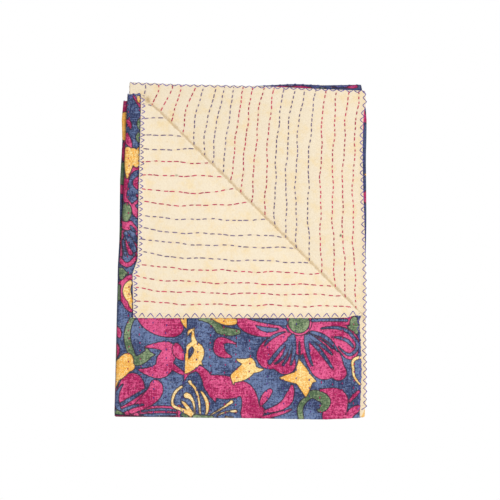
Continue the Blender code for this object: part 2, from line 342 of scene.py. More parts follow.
RIGHT_LENGTH = {
    "petal": [
        ((-1, -130, 7.5), (33, -141, 16.5), (81, -148, 5.5)),
        ((92, -158, 9), (68, -176, 22), (55, -193, 25)),
        ((73, -198, 22), (81, -206, 20.5), (83, -209, 18.5)),
        ((109, -154, 9), (109, -174, 9), (109, -185, 7.5)),
        ((122, -161, 9), (140, -187, 24), (155, -209, 28)),
        ((166, -202, 22), (175, -215, 16.5), (181, -224, 15)),
        ((125, -139, 9), (166, -148, 20.5), (197, -169, 22)),
        ((197, -169, 20.5), (201, -182, 16.5), (203, -187, 13)),
        ((133, -128, 11), (170, -128, 13), (197, -126, 11)),
        ((96, -111, 9), (72, -91, 22), (51, -74, 20.5)),
        ((120, -111, 9), (144, -91, 22), (166, -76, 20.5)),
        ((-8, -171, 1.5), (-34, -165, 6.5), (-39, -176, 10)),
        ((-39, -176, 10), (-36, -187, 8.5), (-17, -195, 2)),
        ((-104, -239, 2), (-97, -224, 4.5), (-84, -217, 5.5)),
        ((-84, -217, 5.5), (-71, -221, 7.5), (-58, -241, 11)),
        ((-58, -241, 11), (-38, -250, 21.5), (-8, -252, 17.5)),
        ((-51, -261, 9), (-48, -270, 4.5), (-46, -278, 1)),
        ((-8, -252, 15), (14, -263, 14), (18, -298, 17.5)),
        ((29, -295, 15), (36, -295, 9), (44, -296, 3.5)),
        ((40, -307, 3), (70, -300, 3.5), (94, -292, 1.5)),
        ((147, -256, 2), (171, -263, 11), (177, -276, 21.5)),
        ((177, -276, 21.5), (173, -295, 22), (170, -309, 18.5)),
        ((218, -259, 3), (208, -269, 3.5), (201, -278, 2)),
        ((218, -289, 5.5), (207, -296, 7.5), (197, -307, 5.5)),
    ],
    "petal_over": [
        ((108, -132, 24), (108, -132, 24), (108, -132, 24)),
        ((38, -283, 3), (46, -269, 7), (55, -258, 4.5)),
        ((46, -296, 3), (77, -285, 7.5), (90, -269, 8.5)),
        ((90, -269, 8.5), (94, -258, 5.5), (95, -249, 3)),
    ],
    "slash": [
        ((14, -124, 1), (42, -129, 3.5), (81, -132, 6.5)),
        ((29, -138, 1), (48, -145, 4.5), (70, -144, 1.5)),
        ((83, -149, 1), (59, -159, 3), (45, -174, 1.5)),
        ((88, -165, 2), (70, -185, 3.5), (54, -206, 3.5)),
        ((90, -161, 3), (81, -191, 3), (64, -208, 1.5)),
        ((94, -158, 3.5), (90, -189, 2.5), (78, -210, 2)),
        ((97, -156, 3.5), (99, -182, 3.5), (93, -209, 2)),
        ((109, -167, 1), (109, -182, 1.5), (109, -196, 1)),
        ((122, -158, 4.5), (124, -185, 3.5), (133, -211, 1.5)),
        ((125, -161, 3), (149, -187, 3.5), (170, -217, 2)),
        ((127, -156, 3.5), (151, -174, 3.5), (169, -191, 1.5)),
        ((131, -150, 3), (159, -161, 3.5), (179, -185, 1.5)),
        ((149, -143, 1.5), (186, -143, 3), (207, -158, 3)),
        ((207, -158, 3), (216, -174, 3), (208, -188, 3)),
        ((208, -188, 3), (196, -190, 2.5), (181, -176, 1)),
        ((169, -159, 1), (192, -163, 3), (207, -176, 2.5)),
        ((133, -128, 3), (166, -127, 3), (196, -128, 2.5)),
        ((-88, -177, 2), (-93, -185, 3), (-100, -201, 1.5)),
        ((92, -102, 1), (73, -87, 3.5), (55, -73, 2)),
        ((123, -102, 1), (144, -85, 3.5), (162, -73, 2)),
    ],
    "leaf": [
        ((-76, -126, 2), (-52, -130, 6.5), (-39, -145, 7.5)),
        ((-39, -145, 7.5), (-21, -149, 7.5), (-4, -149, 5)),
        ((108, -132, 19.5), (108, -132, 19.5), (108, -132, 19.5)),
        ((210, -126, 5.5), (210, -137, 8.5), (214, -150, 3.5)),
        ((199, -141, 2), (207, -141, 5.5), (214, -141, 5.5)),
        ((112, -307, 5), (111, -287, 5.5), (123, -272, 4.5)),
        ((123, -272, 4.5), (133, -264, 7.5), (144, -267, 9)),
        ((144, -267, 9), (157, -276, 9), (153, -289, 6.5)),
        ((153, -289, 5.5), (147, -294, 3.5), (142, -292, 1.5)),
        ((-106, -300, 4.5), (-82, -305, 4.5), (-51, -307, 3.5)),
        ((-1, -91, 3.5), (-28, -73, 11), (-65, -63, 3.5)),
        ((203, -91, 5.5), (221, -73, 7.5), (233, -54, 3.5)),
    ],
    "gold": [
        ((-51, -122, 3.5), (-30, -127, 9), (-12, -130, 6.5)),
        ((-85, -143, 1.5), (-87, -158, 3.5), (-82, -174, 6.5)),
        ((-86, -145, 1.5), (-93, -148, 3), (-98, -156, 1.5)),
        ((-82, -174, 6.5), (-76, -187, 10), (-86, -206, 11)),
        ((-86, -206, 10), (-95, -215, 8.5), (-102, -223, 3.5)),
        ((-99, -180, 3.5), (-99, -189, 3.5), (-100, -206, 4.5)),
        ((-86, -169, 3.5), (-95, -176, 4), (-100, -184, 3.5)),
        ((-75, -204, 4.5), (-72, -208, 2), (-69, -211, 1)),
        ((-6, -200, 2), (7, -204, 5.5), (18, -204, 7.5)),
        ((18, -206, 8.5), (12, -219, 14), (-8, -232, 10)),
        ((18, -215, 9), (29, -219, 5.5), (42, -218, 1.5)),
        ((-8, -232, 9), (-12, -237, 4.5), (-12, -245, 1.5)),
        ((109, -198, 1), (109, -217, 6.5), (112, -233, 14)),
        ((72, -234, 1), (90, -234, 7.5), (112, -233, 13)),
        ((112, -233, 14), (125, -236, 9), (139, -240, 1)),
        ((112, -233, 14), (119, -250, 10), (120, -269, 1)),
        ((108, -200, 1), (116, -220, 7), (131, -236, 4)),
        ((129, -239, 5), (125, -250, 5), (121, -263, 3)),
        ((221, -196, 3), (208, -202, 3), (208, -217, 2.5)),
        ((208, -217, 2.5), (210, -232, 2.5), (221, -246, 2)),
        ((107, -60, 2), (109, -74, 9), (109, -91, 3.5)),
    ],
}
STAMENS = {
    "stamen": [
        ((-108, -250, 2.5), (-120, -261, 3), (-125, -276, 2.5)),
        ((-125, -276, 2.5), (-123, -285, 3), (-113, -290, 3)),
        ((-113, -290, 3), (-102, -295, 4), (-91, -302, 3.5)),
        ((-108, -277, 1.5), (-100, -285, 3.5), (-89, -300, 3.5)),
        ((-99, -266, 5.5), (-95, -267, 5), (-93, -269, 4)),
        ((-93, -269, 4), (-86, -280, 2.5), (-84, -300, 1.5)),
        ((-93, -241, 3.5), (-92, -243, 3), (-91, -245, 2)),
        ((-91, -245, 2.5), (-79, -263, 2.5), (-74, -300, 2)),
        ((-72, -259, 2), (-61, -280, 3.5), (-63, -301, 2)),
        ((-16, -278, 3.5), (-34, -290, 2), (-54, -302, 1.5)),
        ((-8, -295, 3), (-15, -295, 2.5), (-19, -295, 1.5)),
        ((-23, -296, 1.5), (-34, -299, 1.5), (-43, -304, 1)),
        ((-26, -306, 2), (-21, -307, 2), (-14, -307, 2)),
    ],
}
LEFT_EDGE = {
    "petal": [
        ((-196, 285, 2), (-189, 275, 3.5), (-182, 266, 4.5)),
        ((-209, 242, 1.5), (-204, 235, 3.5), (-202, 225, 1.5)),
        ((-211, 218, 2), (-206, 203, 5.5), (-200, 188, 2)),
        ((-182, 153, 4), (-204, 144, 4.5), (-211, 112, 3.5)),
        ((-211, 112, 3.5), (-212, 101, 3), (-210, 90, 3)),
        ((-187, 135, 3), (-193, 124, 5), (-184, 114, 3.5)),
        ((-191, 103, 2), (-187, 100, 3), (-182, 96, 2)),
        ((-211, 96, 3), (-202, 85, 3), (-199, 83, 3)),
        ((-199, 83, 3), (-193, 88, 3), (-182, 96, 3)),
        ((-197, 81, 3.5), (-193, 72, 6.5), (-187, 64, 5.5)),
        ((-215, 50, 5.5), (-208, 46, 8.5), (-202, 50, 5.5)),
        ((-202, 50, 3.5), (-193, 40, 4), (-187, 26, 3.5)),
        ((-215, 35, 3.5), (-219, 16, 3.5), (-219, -8, 3)),
        ((-210, 20, 2), (-206, 7, 4), (-202, -4, 4.5)),
        ((-221, -15, 3.5), (-208, -26, 4.5), (-193, -13, 3.5)),
        ((-197, 16, 2), (-190, 5, 3.5), (-191, -6, 3)),
        ((-199, -48, 5.5), (-216, -67, 10), (-210, -91, 9)),
        ((-210, -91, 6.5), (-208, -102, 5.5), (-200, -110, 3.5)),
    ],
    "slash": [
        ((-202, 46, 1.5), (-198, 40, 3), (-193, 35, 1.5)),
        ((-211, 33, 3.5), (-202, 16, 5.5), (-195, 1, 4.5)),
        ((-215, 20, 1.5), (-214, 7, 2), (-211, -8, 2)),
    ],
    "leaf": [
        ((-184, 243, 2), (-187, 234, 3.5), (-183, 224, 3)),
        ((-184, 218, 2.5), (-188, 209, 4.5), (-184, 200, 3)),
        ((-209, 83, 5.5), (-208, 72, 8.5), (-210, 59, 5.5)),
        ((-221, -34, 3.5), (-217, -41, 6.5), (-219, -52, 2)),
        ((-217, -39, 4.5), (-211, -41, 3), (-206, -43, 1)),
        ((-223, -65, 3.5), (-224, -76, 3.5), (-223, -89, 3)),
    ],
    "gold": [
        ((-191, 284, 2), (-187, 283, 2.5), (-184, 281, 2)),
        ((-187, 279, 3), (-186, 276, 3.5), (-182, 273, 3)),
        ((-208, 188, 3), (-204, 172, 9), (-208, 135, 2)),
        ((-197, 183, 6.5), (-193, 172, 11), (-191, 161, 7.5)),
        ((-187, 188, 3), (-186, 177, 5.5), (-184, 159, 3.5)),
        ((-202, -58, 4.5), (-209, -73, 7.5), (-202, -91, 5.5)),
        ((-202, -91, 5.5), (-202, -98, 3.5), (-199, -106, 2)),
    ],
}
FOLD_EDGE = {
    "petal": [
        ((-226, 272, 11), (-226, 266, 11), (-226, 260, 7.5)),
        ((-226, 201, 3.5), (-224, 186, 3), (-226, 168, 3.5)),
        ((-226, 120, 9), (-226, 114, 9), (-226, 111, 5.5)),
        ((-226, 94, 2), (-228, 75, 3), (-226, 53, 3.5)),
        ((-226, 16, 5.5), (-230, 1, 3.5), (-228, -17, 3.5)),
        ((-226, -139, 5.5), (-228, -148, 6.5), (-226, -159, 3.5)),
    ],
    "leaf": [
        ((-226, 155, 9), (-226, 144, 11), (-226, 131, 9)),
        ((-226, 38, 7.5), (-226, 33, 7.5), (-226, 27, 5.5)),
    ],
    "gold": [
        ((-226, 248, 9), (-226, 231, 11), (-226, 211, 7.5)),
    ],
}

# The second panel's motifs where its cut edge and its right fold look out, as a place across or up and
# the distance in from the edge or the distance past the fold's middle.
TOP_EDGE = {
    "petal": [
        ((52, 5, 2), (70, 4, 2.5), (86, 6, 2)),
        ((98, 5, 2), (120, 6, 3.5), (146, 8, 2)),
        ((179, 3, 1), (188, 4, 3), (198, 6, 1.5)),
        ((207, 7, 2), (216, 5, 3.5), (229, 3, 3.5)),
    ],
    "leaf": [
        ((149, 7, 2), (160, 5, 3), (173, 6, 2)),
    ],
}
RIGHT_FOLD_EDGE = {
    "petal": [
        ((238, 0, 6), (245, 0, 7.5), (252, 0, 6)),
        ((90, 0, 7), (97, 0, 9), (106, 0, 7)),
    ],
    "leaf": [
        ((148, 0, 5), (150, 0, 6), (152, 0, 5)),
    ],
    "gold": [
        ((136, 0, 4), (138, 0, 4.5), (140, 0, 4)),
    ],
    "stamen": [
        ((-297, 0, 12), (-304, 0, 16), (-314, 0, 18)),
    ],
}

# Both lengths repeat over the cloth at this step across and up, each row moved along by the shift.
REPEAT = (0.481, 0.296)
REPEAT_SHIFT = 0.213
REPEAT_CORNER = (-0.241, -0.332)
LAYERS = ("petal", "petal_over", "slash", "leaf", "gold", "stamen")
FAR = 0.05
STAMEN_REACH = 0.115

# The seam between the lengths: its place across at a height, and how far left it slants below that.
SEAM_X = -0.0968
SEAM_Y = -0.124
SEAM_SLANT = 0.070

# The upper left fold's own motifs lie left of this place, above this height and, past the fold, up to
# this many panels along.
LEFT_EDGE_X = -0.178
LEFT_EDGE_Y = -0.122
LEFT_EDGE_PANELS = 1.25

# Where the lower left fold's own motifs are: their place across, how far that is from the fold's middle,
# how far along the cloth they reach from there, and the height above which they lie.
FOLD_EDGE_X = -0.226
FOLD_EDGE_IN = 0.006
FOLD_EDGE_REACH = 0.025
FOLD_EDGE_Y = -0.17

# How far the second panel's own motifs reach from its cut edge and from its right fold's middle, and how
# much wider it lies than the cloth's own run across it.
TOP_EDGE_REACH = 0.03
RIGHT_FOLD_REACH = 0.020
SECOND_STRETCH = 1.036


def read_table(rows, column, at):
    """A column of a table, read between its rows by the first column."""
    return np.interp(at, rows[rows.dtype.names[0]], rows[column])


def smooth(value, low, high):
    """0 below low, 1 above high and a smooth ramp between."""
    share = np.clip((value - low) / (high - low), 0, 1)
    return share * share * (3 - 2 * share)


def half_turn(middle, radius, first, sweep, facets):
    """Corner points of a bend whose flat facets all lie at the radius from its middle."""
    steps = facets + 1
    angle = first + sweep * (np.arange(steps) + 0.5) / steps
    reach = radius / math.cos(sweep / 2 / steps)
    return np.array(middle) + reach * np.stack([np.cos(angle), np.sin(angle)], axis=1)


def mitres(points):
    """A vector at each point of a line that moves the line sideways by one, every run kept parallel."""
    runs = np.diff(points, axis=0)
    runs /= np.linalg.norm(runs, axis=1)[:, None]
    sides = np.stack([runs[:, 1], -runs[:, 0]], axis=1)
    before = np.vstack([sides[:1], sides])
    after = np.vstack([sides, sides[-1:]])
    return (before + after) / (1 + (before * after).sum(axis=1))[:, None]


def ply_path():
    """Stations up the cloth, from past the lower ply's cut edge to past the upper ply's.

    At each one: its share of the way up, its place beside the bottom bend's middle, its height and mitre.
    """
    shares = np.array([0.0, 0.01, 0.5, 1.0, 1.05])
    bend = half_turn((0.0, 0.0), PLY_BEND, math.pi / 2, math.pi, HEM_FACETS)
    over = np.stack([shares[::-1], np.full(len(shares), PLY_BEND)], axis=1)
    under = np.stack([shares, np.full(len(shares), -PLY_BEND)], axis=1)
    line = np.vstack([over, bend, under])
    way = np.linspace(1, -1, len(bend) + 2)[1:-1] * HEM_RUN / 2
    ends = HEM_RUN / 2 + shares * PLY_RUN
    side = mitres(line)
    path = {
        "up": np.concatenate([ends[::-1], way, -ends]),
        "share": np.concatenate([shares[::-1], 0 * way, shares]),
        "beside": np.concatenate([0 * shares, bend[:, 0], 0 * shares]),
        "height": line[:, 1],
        "mitre_y": side[:, 0],
        "mitre_z": side[:, 1],
    }
    return {key: value[::-1] for key, value in path.items()}


def strip_path():
    """Stations along the strip, from before the top panel's free edge to past the bottom panel's.

    At each one: its panel number, its share of the way left, its place beside the fold's middle, its
    height and its mitre. "turns" are the stations at the middle of each side fold.
    """
    pitch = STRIP + PANEL_GAP
    rows, turns = [], []
    start = 0.0
    for number in range(PANELS):
        height = STRIP / 2 + (PANELS - 1 - number) * pitch
        shares = [0.0, 0.01, 0.5, 0.99, 1.0]
        shares = [-0.05] * (number == 0) + shares + [1.05] * (number == PANELS - 1)
        for share in shares:
            left = share if number % 2 == 0 else 1 - share
            rows.append((start + share * PANEL_RUN, number + share, left, 0.0, height))
        start += PANEL_RUN
        if number == PANELS - 1:
            break
        side = 1 if number % 2 == 0 else -1
        middle = (0.0, height - STRIP_BEND)
        bend = half_turn(middle, STRIP_BEND, math.pi / 2, side * math.pi, STRIP_FACETS)
        for step, (across, up) in enumerate(bend):
            station = start + FOLD_RUN * (step + 1) / (len(bend) + 1)
            rows.append((station, number + 1.0, float(side == 1), across, up))
        turns.append(start + FOLD_RUN / 2)
        start += FOLD_RUN
    along, panel, share, beside, height = np.array(rows).T
    side = mitres(np.stack([beside - share, height], axis=1))
    return {
        "along": along,
        "panel": panel,
        "share": share,
        "beside": beside,
        "height": height,
        "mitre_x": side[:, 0],
        "mitre_z": side[:, 1],
        "turns": np.array(turns),
    }


def corner_path():
    """The line that the turned-back corner follows, as distance past the bend's middle and height."""
    middle = (0.0, PLY_BEND)
    bend = half_turn(middle, PLY_BEND, -math.pi / 2, math.pi, CORNER_FACETS)
    far = 1.0
    line = np.vstack([[-far, 0.0], bend, [-far, 2 * PLY_BEND]])
    steps = np.linalg.norm(np.diff(line, axis=0), axis=1)
    return line, np.concatenate([[0.0], np.cumsum(steps)]) - far, mitres(line)


PLY_PATH = ply_path()
STRIP_PATH = strip_path()
CORNER_LINE, CORNER_STATIONS, CORNER_MITRES = corner_path()
CORNER_START = CREASE / math.sqrt(2) - PLY_BEND - PLY / 2


def crinkle(x, y, seed, shortest, longest, waves=26):
    """Gentle ripples of mixed lengths and directions, between about -1 and 1."""
    draw = np.random.RandomState(seed)
    total = np.zeros(x.shape)
    for _ in range(waves):
        turn = draw.uniform(0, math.pi)
        length = shortest * (longest / shortest) ** draw.uniform()
        phase = draw.uniform(0, 2 * math.pi)
        across = x * math.cos(turn) + y * math.sin(turn)
        total += np.sin(2 * math.pi * across / length + phase)
    return total / math.sqrt(waves)


def upper_ply(along, up):
    """Where a point is in the upper ply of the top panel."""
    return (along < PANEL_RUN) & (up > 0)


def by_ply(rows, at, upper):
    """A table read for the upper ply where a point is in it, and for the lower ply elsewhere."""
    return np.where(upper, read_table(rows, "over", at), read_table(rows, "under", at))


def bend_middle(panel):
    """How far up the middle of the bottom bend is, by the number of panels along."""
    return read_table(BOTTOM_FOLD, "y", panel) + PLY_BEND + PLY / 2


def lie_flat(along, up):
    """Places on the unfolded cloth, which are the folded ones on the top panel's two plies.

    The lower ply's heights are mirrored about the bottom fold, as they are on the folded cloth.
    """
    panel = np.interp(along, STRIP_PATH["along"], STRIP_PATH["panel"])
    share = np.interp(up, PLY_PATH["up"], PLY_PATH["share"])
    middle = bend_middle(panel)
    y = middle + share * (by_ply(CUT_EDGES, panel, up > 0) - middle)
    left = STRIP_BEND + STRIP / 2 + read_table(LEFT_FOLDS, "upper", y)
    right = by_ply(RIGHT_EDGES, y, up > 0)
    return right + along / PANEL_RUN * (left - right), y


def row_places(rows, y):
    """Where each row of stitches is at a height: upright to the crease, leaning past it, never straight."""
    cross = CREASE - rows["crease"]
    rise = np.clip(y[..., None] - cross, 0, None)
    whole = np.maximum(ROW_TOP - cross, 0.01)
    curl = np.exp((rise - whole) / ROW_LEAN) * (rise > 0)
    lean = 0.5 * np.clip(rise / whole, 0, 1.1) + 0.5 * np.minimum(curl, 1.1)
    bow = rows["bow"] * np.sin(math.pi * np.clip(rise / whole, 0, 1))
    turn = 2 * math.pi * y[..., None] / ROW_WAVE + ROW_PHASE * rows["crease"]
    wave = np.sin(turn) + 0.5 * np.sin(ROW_OVERTONE * turn)
    spot = rows["crease"] + (rows["edge"] - rows["crease"]) * lean
    return spot + bow + ROW_WANDER * wave


def row_distance(along, up, x, y):
    """Distance to the nearest row of stitches, by table on the top panel and at even steps elsewhere."""
    even = np.abs((x / ROW_PITCH) % 1 - 0.5) * ROW_PITCH
    for rows, ply in ((UPPER_ROWS, up > 0), (LOWER_ROWS, up <= 0)):
        on = (along < PANEL_RUN) & ply
        if on.any():
            even[on] = np.abs(x[on][:, None] - row_places(rows, y[on])).min(axis=1)
    return even


def crease_distance(along, up, x, y):
    """Distance from the turned corner's crease, out on the ply below it and in on the corner."""
    past = (x + y - CREASE) / math.sqrt(2) + CREASE_BOW * smooth(x, *BOW_RIGHT_OF)
    past = np.where(up > 0, -np.abs(past), past)
    past = past + CREASE_SAG * smooth(-x, *SAG_LEFT_OF)
    faded = FAR * (1 - smooth(x, *CREASE_FADE))
    return np.where(along < PANEL_RUN, past + np.sign(past) * faded, FAR)


def edge_distance(along, up):
    """How far in from the nearest cut edge a point of the cloth is."""
    return np.minimum(np.minimum(along, ALONG_END - along), UP_END - np.abs(up))


def relief(along, up, print_side):
    """How far a cloth's outer surface stands out between its rows of stitches, in metres."""
    x, y = lie_flat(along, up)
    away = row_distance(along, up, x, y)
    sewn = -SEWN_DEPTH * np.exp(-((away / SEWN_REACH) ** 2))
    pillow = PILLOW_HEIGHT * (1 - np.exp(-((away / PILLOW_REACH) ** 2)))
    across = crinkle(x * 0.8, y * 1.4, 5 if print_side else 6, *RIPPLE_LENGTHS, 40)
    ripple = (PRINT_RIPPLE if print_side else CREAM_RIPPLE) * across
    pleat = PLEAT_HEIGHT * np.exp(-(((x - PLEAT_X) / PLEAT_REACH) ** 2)) * print_side
    rise = sewn + pillow + ripple + pleat
    low = np.where(along > PANEL_RUN, -HIDDEN_SINK, -RELIEF_MOST)
    high = np.where(along > PANEL_RUN, 0.0, RELIEF_MOST)
    return np.clip(rise, low, high) * smooth(edge_distance(along, up), 0.0, RELIEF_START)


def hem(along, up):
    """How much of its thickness the cloth keeps near its cut edges, where it rounds off."""
    inside = np.clip(edge_distance(along, up) / HEM_REACH, 0, 1)
    return HEM_KEPT + (1 - HEM_KEPT) * np.sqrt(1 - (1 - inside) ** 2)


def fold(along, up, depth):
    """Places of points of the cloth with all folds but the corner's.

    Each panel runs between its left and right edges at the point's height, and each ply between the
    bottom fold and its cut edge. The depth is set off along the mitres of both paths.
    """
    ply = {
        key: np.interp(up, PLY_PATH["up"], PLY_PATH[key])
        for key in ("share", "beside", "height", "mitre_y", "mitre_z")
    }
    strip = {
        key: np.interp(along, STRIP_PATH["along"], STRIP_PATH[key])
        for key in ("panel", "share", "beside", "height", "mitre_x", "mitre_z")
    }
    number = np.searchsorted(STRIP_PATH["turns"], along)
    under = up < 0
    middle = bend_middle(strip["panel"])
    cut = by_ply(CUT_EDGES, strip["panel"], ~under)
    y = middle + ply["share"] * (cut - middle) + ply["beside"] + depth * ply["mitre_y"]
    offset = ply["height"] + depth * ply["mitre_z"]
    half = STRIP_BEND + STRIP / 2
    left = half + np.where(
        number < 2,
        read_table(LEFT_FOLDS, "upper", y),
        read_table(LEFT_FOLDS, "lower", y),
    )
    right = np.select(
        [number == 0, number == PANELS - 1],
        [by_ply(RIGHT_EDGES, y, ~under), read_table(RIGHT_EDGES, "last", y)],
        read_table(RIGHT_EDGES, "fold", y) - half,
    )
    x = right + strip["share"] * (left - right) + strip["beside"]
    x = x + offset * strip["mitre_x"]
    return x, y, strip["height"] + offset * strip["mitre_z"]


def loosen(x, y, along, up):
    """How far the plies that have nothing on them stand up in slight waves, at the crease and at edges."""
    past = (x + y - CREASE) / math.sqrt(2)
    top = along < PANEL_RUN
    upper = top & (up > 0)
    wave = 0.5 + 0.5 * np.clip(crinkle(x, y, 21, *WAVE_LENGTHS), -1, 1)
    rolled = CREASE_PUFF * (0.7 + 0.3 * wave) * np.exp(-((past / CREASE_SPREAD) ** 2))
    edge = np.minimum(np.maximum(along, 0), np.maximum(UP_END - up, 0))
    curled = EDGE_PUFF * (0.4 + 0.6 * wave) * np.exp(-((edge / EDGE_SPREAD) ** 2))
    corner = rolled + (CORNER_WAVE * wave * smooth(past, 0.004, 0.05) + curled) * (past > 0)
    apron = rolled + APRON_WAVE * wave * smooth(APRON_TOP - y, 0.0, APRON_EASE)
    below = BELOW_WAVE * wave * smooth(past, 0.012, 0.05)
    return np.select([upper & (past > 0), upper, top & (past > 0)], [corner, apron, below], 0.0)


def turn_corner(x, y, z, along, up):
    """Turn what lies past the crease back over the upper ply."""
    diagonal = 1 / math.sqrt(2)
    past = (x + y) * diagonal - CORNER_START
    turned = upper_ply(along, up) & (past > CORNER_STATIONS[1])
    depth = TOP - z
    beside, height = (
        np.interp(past, CORNER_STATIONS, CORNER_LINE[:, axis])
        + depth * np.interp(past, CORNER_STATIONS, CORNER_MITRES[:, axis])
        for axis in (0, 1)
    )
    shift = np.where(turned, (beside - past) * diagonal, 0.0)
    return x + shift, y + shift, np.where(turned, TOP + height, z)


def place(along, up, depth):
    """The folded place of points of the cloth, as one array of x, y and z."""
    x, y, z = fold(along, up, depth)
    lift = loosen(x, y, along, up)
    x, y, z = turn_corner(x, y, z, along, up)
    return np.stack([x, y, z + lift], axis=-1)


def stroke_distance(x, y, stroke, pieces=8):
    """Distance outside a brush stroke: a curve through three places, swept by a disc of changing size."""
    (ax, ay, ar), (bx, by, br), (cx, cy, cr) = np.array(stroke) / 1000
    t = np.linspace(0, 1, pieces + 1)
    first, middle, last = (1 - t) * (1 - 2 * t), 4 * t * (1 - t), t * (2 * t - 1)
    px = first * ax + middle * bx + last * cx
    py = first * ay + middle * by + last * cy
    pr = np.maximum(first * ar + middle * br + last * cr, min(ar, br, cr))
    near = np.full(x.shape, FAR)
    margin = FAR / 4 + pr.max()
    close = (np.abs(x - (px.min() + px.max()) / 2) < np.ptp(px) / 2 + margin) & (
        np.abs(y - (py.min() + py.max()) / 2) < np.ptp(py) / 2 + margin
    )
    qx, qy = x[close], y[close]
    best = np.full(qx.shape, FAR)
    for i in range(pieces):
        dx, dy = px[i + 1] - px[i], py[i + 1] - py[i]
        size = max(dx * dx + dy * dy, 1e-12)
        way = np.clip(((qx - px[i]) * dx + (qy - py[i]) * dy) / size, 0, 1)
        reach = np.hypot(qx - px[i] - way * dx, qy - py[i] - way * dy)
        best = np.minimum(best, reach - pr[i] - way * (pr[i + 1] - pr[i]))
    near[close] = best
    return near


def paint(x, y, motifs, fields, where):
    """Lower each layer's distances by a group's strokes at the chosen points."""
    px, py = x[where], y[where]
    for layer, strokes in motifs.items():
        values = fields[layer][where]
        for stroke in strokes:
            values = np.minimum(values, stroke_distance(px, py, stroke))
        fields[layer][where] = values


def repaint(x, y, motifs, fields, where):
    """Take the print off the chosen points and paint a group's strokes there instead."""
    for layer in LAYERS:
        fields[layer][where] = FAR
    paint(x, y, motifs, fields, where)


def world_y(along, up):
    """How far up the folded throw a point of a ply is, its bends left out."""
    panel = np.clip(along / PANEL_RUN, 0, PANELS)
    low = read_table(BOTTOM_FOLD, "y", panel)
    return low + (by_ply(CUT_EDGES, panel, up > 0) - low) * np.abs(up) / UP_END


def print_fields(along, up):
    """Distance outside each layer of the print at points of the cloth."""
    x, y = lie_flat(along, up)
    bottom = read_table(BOTTOM_FOLD, "y", np.clip(along / PANEL_RUN, 0, PANELS))
    y = np.where(up > 0, y, 2 * bottom - y)
    row = np.floor((y - REPEAT_CORNER[1]) / REPEAT[1])
    tile_y = y - row * REPEAT[1]
    tile_x = (x - REPEAT_CORNER[0] + row * REPEAT_SHIFT) % REPEAT[0] + REPEAT_CORNER[0]
    fields = {layer: np.full(x.shape, FAR) for layer in LAYERS}
    seam = seam_distance(tile_x, tile_y)
    paint(tile_x, tile_y, LEFT_LENGTH, fields, seam < 0)
    paint(tile_x, tile_y, RIGHT_LENGTH, fields, seam >= 0)
    paint(tile_x, tile_y, STAMENS, fields, np.abs(seam) < STAMEN_REACH)
    high = (up > 0) & (y > LEFT_EDGE_Y)
    edge = high & (along < PANEL_RUN) & (x < LEFT_EDGE_X)
    edge |= high & (along > PANEL_RUN) & (along < LEFT_EDGE_PANELS * PANEL_RUN)
    repaint(x, y, LEFT_EDGE, fields, edge)
    _, right_turn, left_turn = STRIP_PATH["turns"]
    lower = (np.abs(along - left_turn) < FOLD_EDGE_REACH) & (up > 0) & (y > FOLD_EDGE_Y)
    beside = FOLD_EDGE_X + along - left_turn + FOLD_EDGE_IN
    repaint(beside, y, FOLD_EDGE, fields, lower)
    start = PANEL_RUN + FOLD_RUN
    second = (along > start) & (along < start + PANEL_RUN) & (up < TOP_EDGE_REACH - UP_END)
    across = FOLD_EDGE_X + (along - start) * SECOND_STRETCH
    repaint(across, UP_END + up, TOP_EDGE, fields, second)
    folded = (np.abs(along - right_turn) < RIGHT_FOLD_REACH) & (up < 0) & ~second
    repaint(world_y(along, up), along - right_turn, RIGHT_FOLD_EDGE, fields, folded)
    fields["seam"] = np.abs(seam)
    # Painted shade: the panels below the top one, seen at the edges, get darker dye.
    fields["hidden_panel_shade"] = smooth(along, PANEL_RUN - 0.002, PANEL_RUN + 0.006)
    return fields


def seam_distance(x, y):
    """Distance to the right of the seam between the print's two lengths."""
    return x - SEAM_X + SEAM_SLANT * np.clip(SEAM_Y - y, -0.02, 0.19)


def stations(breaks):
    """Stations in order, from runs given as (start, end, step)."""
    runs = [
        np.linspace(start, end, max(2, round(abs(end - start) / step) + 1))
        for start, end, step in breaks
    ]
    return np.unique(np.round(np.concatenate(runs), 7))


def thin_out(lines, step=3):
    """Every third station of a line, with both of its ends."""
    return np.append(np.arange(0, len(lines) - 1, step), len(lines) - 1)


def edge_lines(length):
    """Stations close to a cut edge, which round the hem."""
    return length - np.array([0.0, 0.0003, 0.0010, HEM_REACH, 0.0040])


def spaced(lines, low, high):
    """Sorted stations between two ends, none of them almost on the one before it."""
    lines = np.unique(np.concatenate(lines))
    lines = lines[(lines > low - 1e-9) & (lines < high + 1e-9)]
    return lines[np.append(True, np.diff(lines) > 0.00022)]


def strip_stations(fine):
    """Stations along the strip: fine on the top panel, coarse between the hidden folds."""
    breaks = [(0.004, PANEL_RUN - 0.0005, fine)]
    side = 0.012
    for number in range(1, PANELS):
        start = number * (PANEL_RUN + FOLD_RUN)
        last = start + PANEL_RUN
        breaks.append((start + 0.0005, start + side, 0.004))
        breaks.append((start + side, last - side, 0.020))
        breaks.append((last - side, last - 0.0045, 0.004))
    near = [0.0, 0.0003, 0.0010, HEM_REACH]
    bends = STRIP_PATH["along"]
    return spaced([near, stations(breaks), bends, edge_lines(ALONG_END)], 0.0, ALONG_END)


def ply_stations(breaks):
    """Stations up the cloth, from the lower ply's cut edge to the upper ply's."""
    ends = edge_lines(UP_END)
    return spaced([-ends, PLY_PATH["up"], stations(breaks), ends], -UP_END, UP_END)


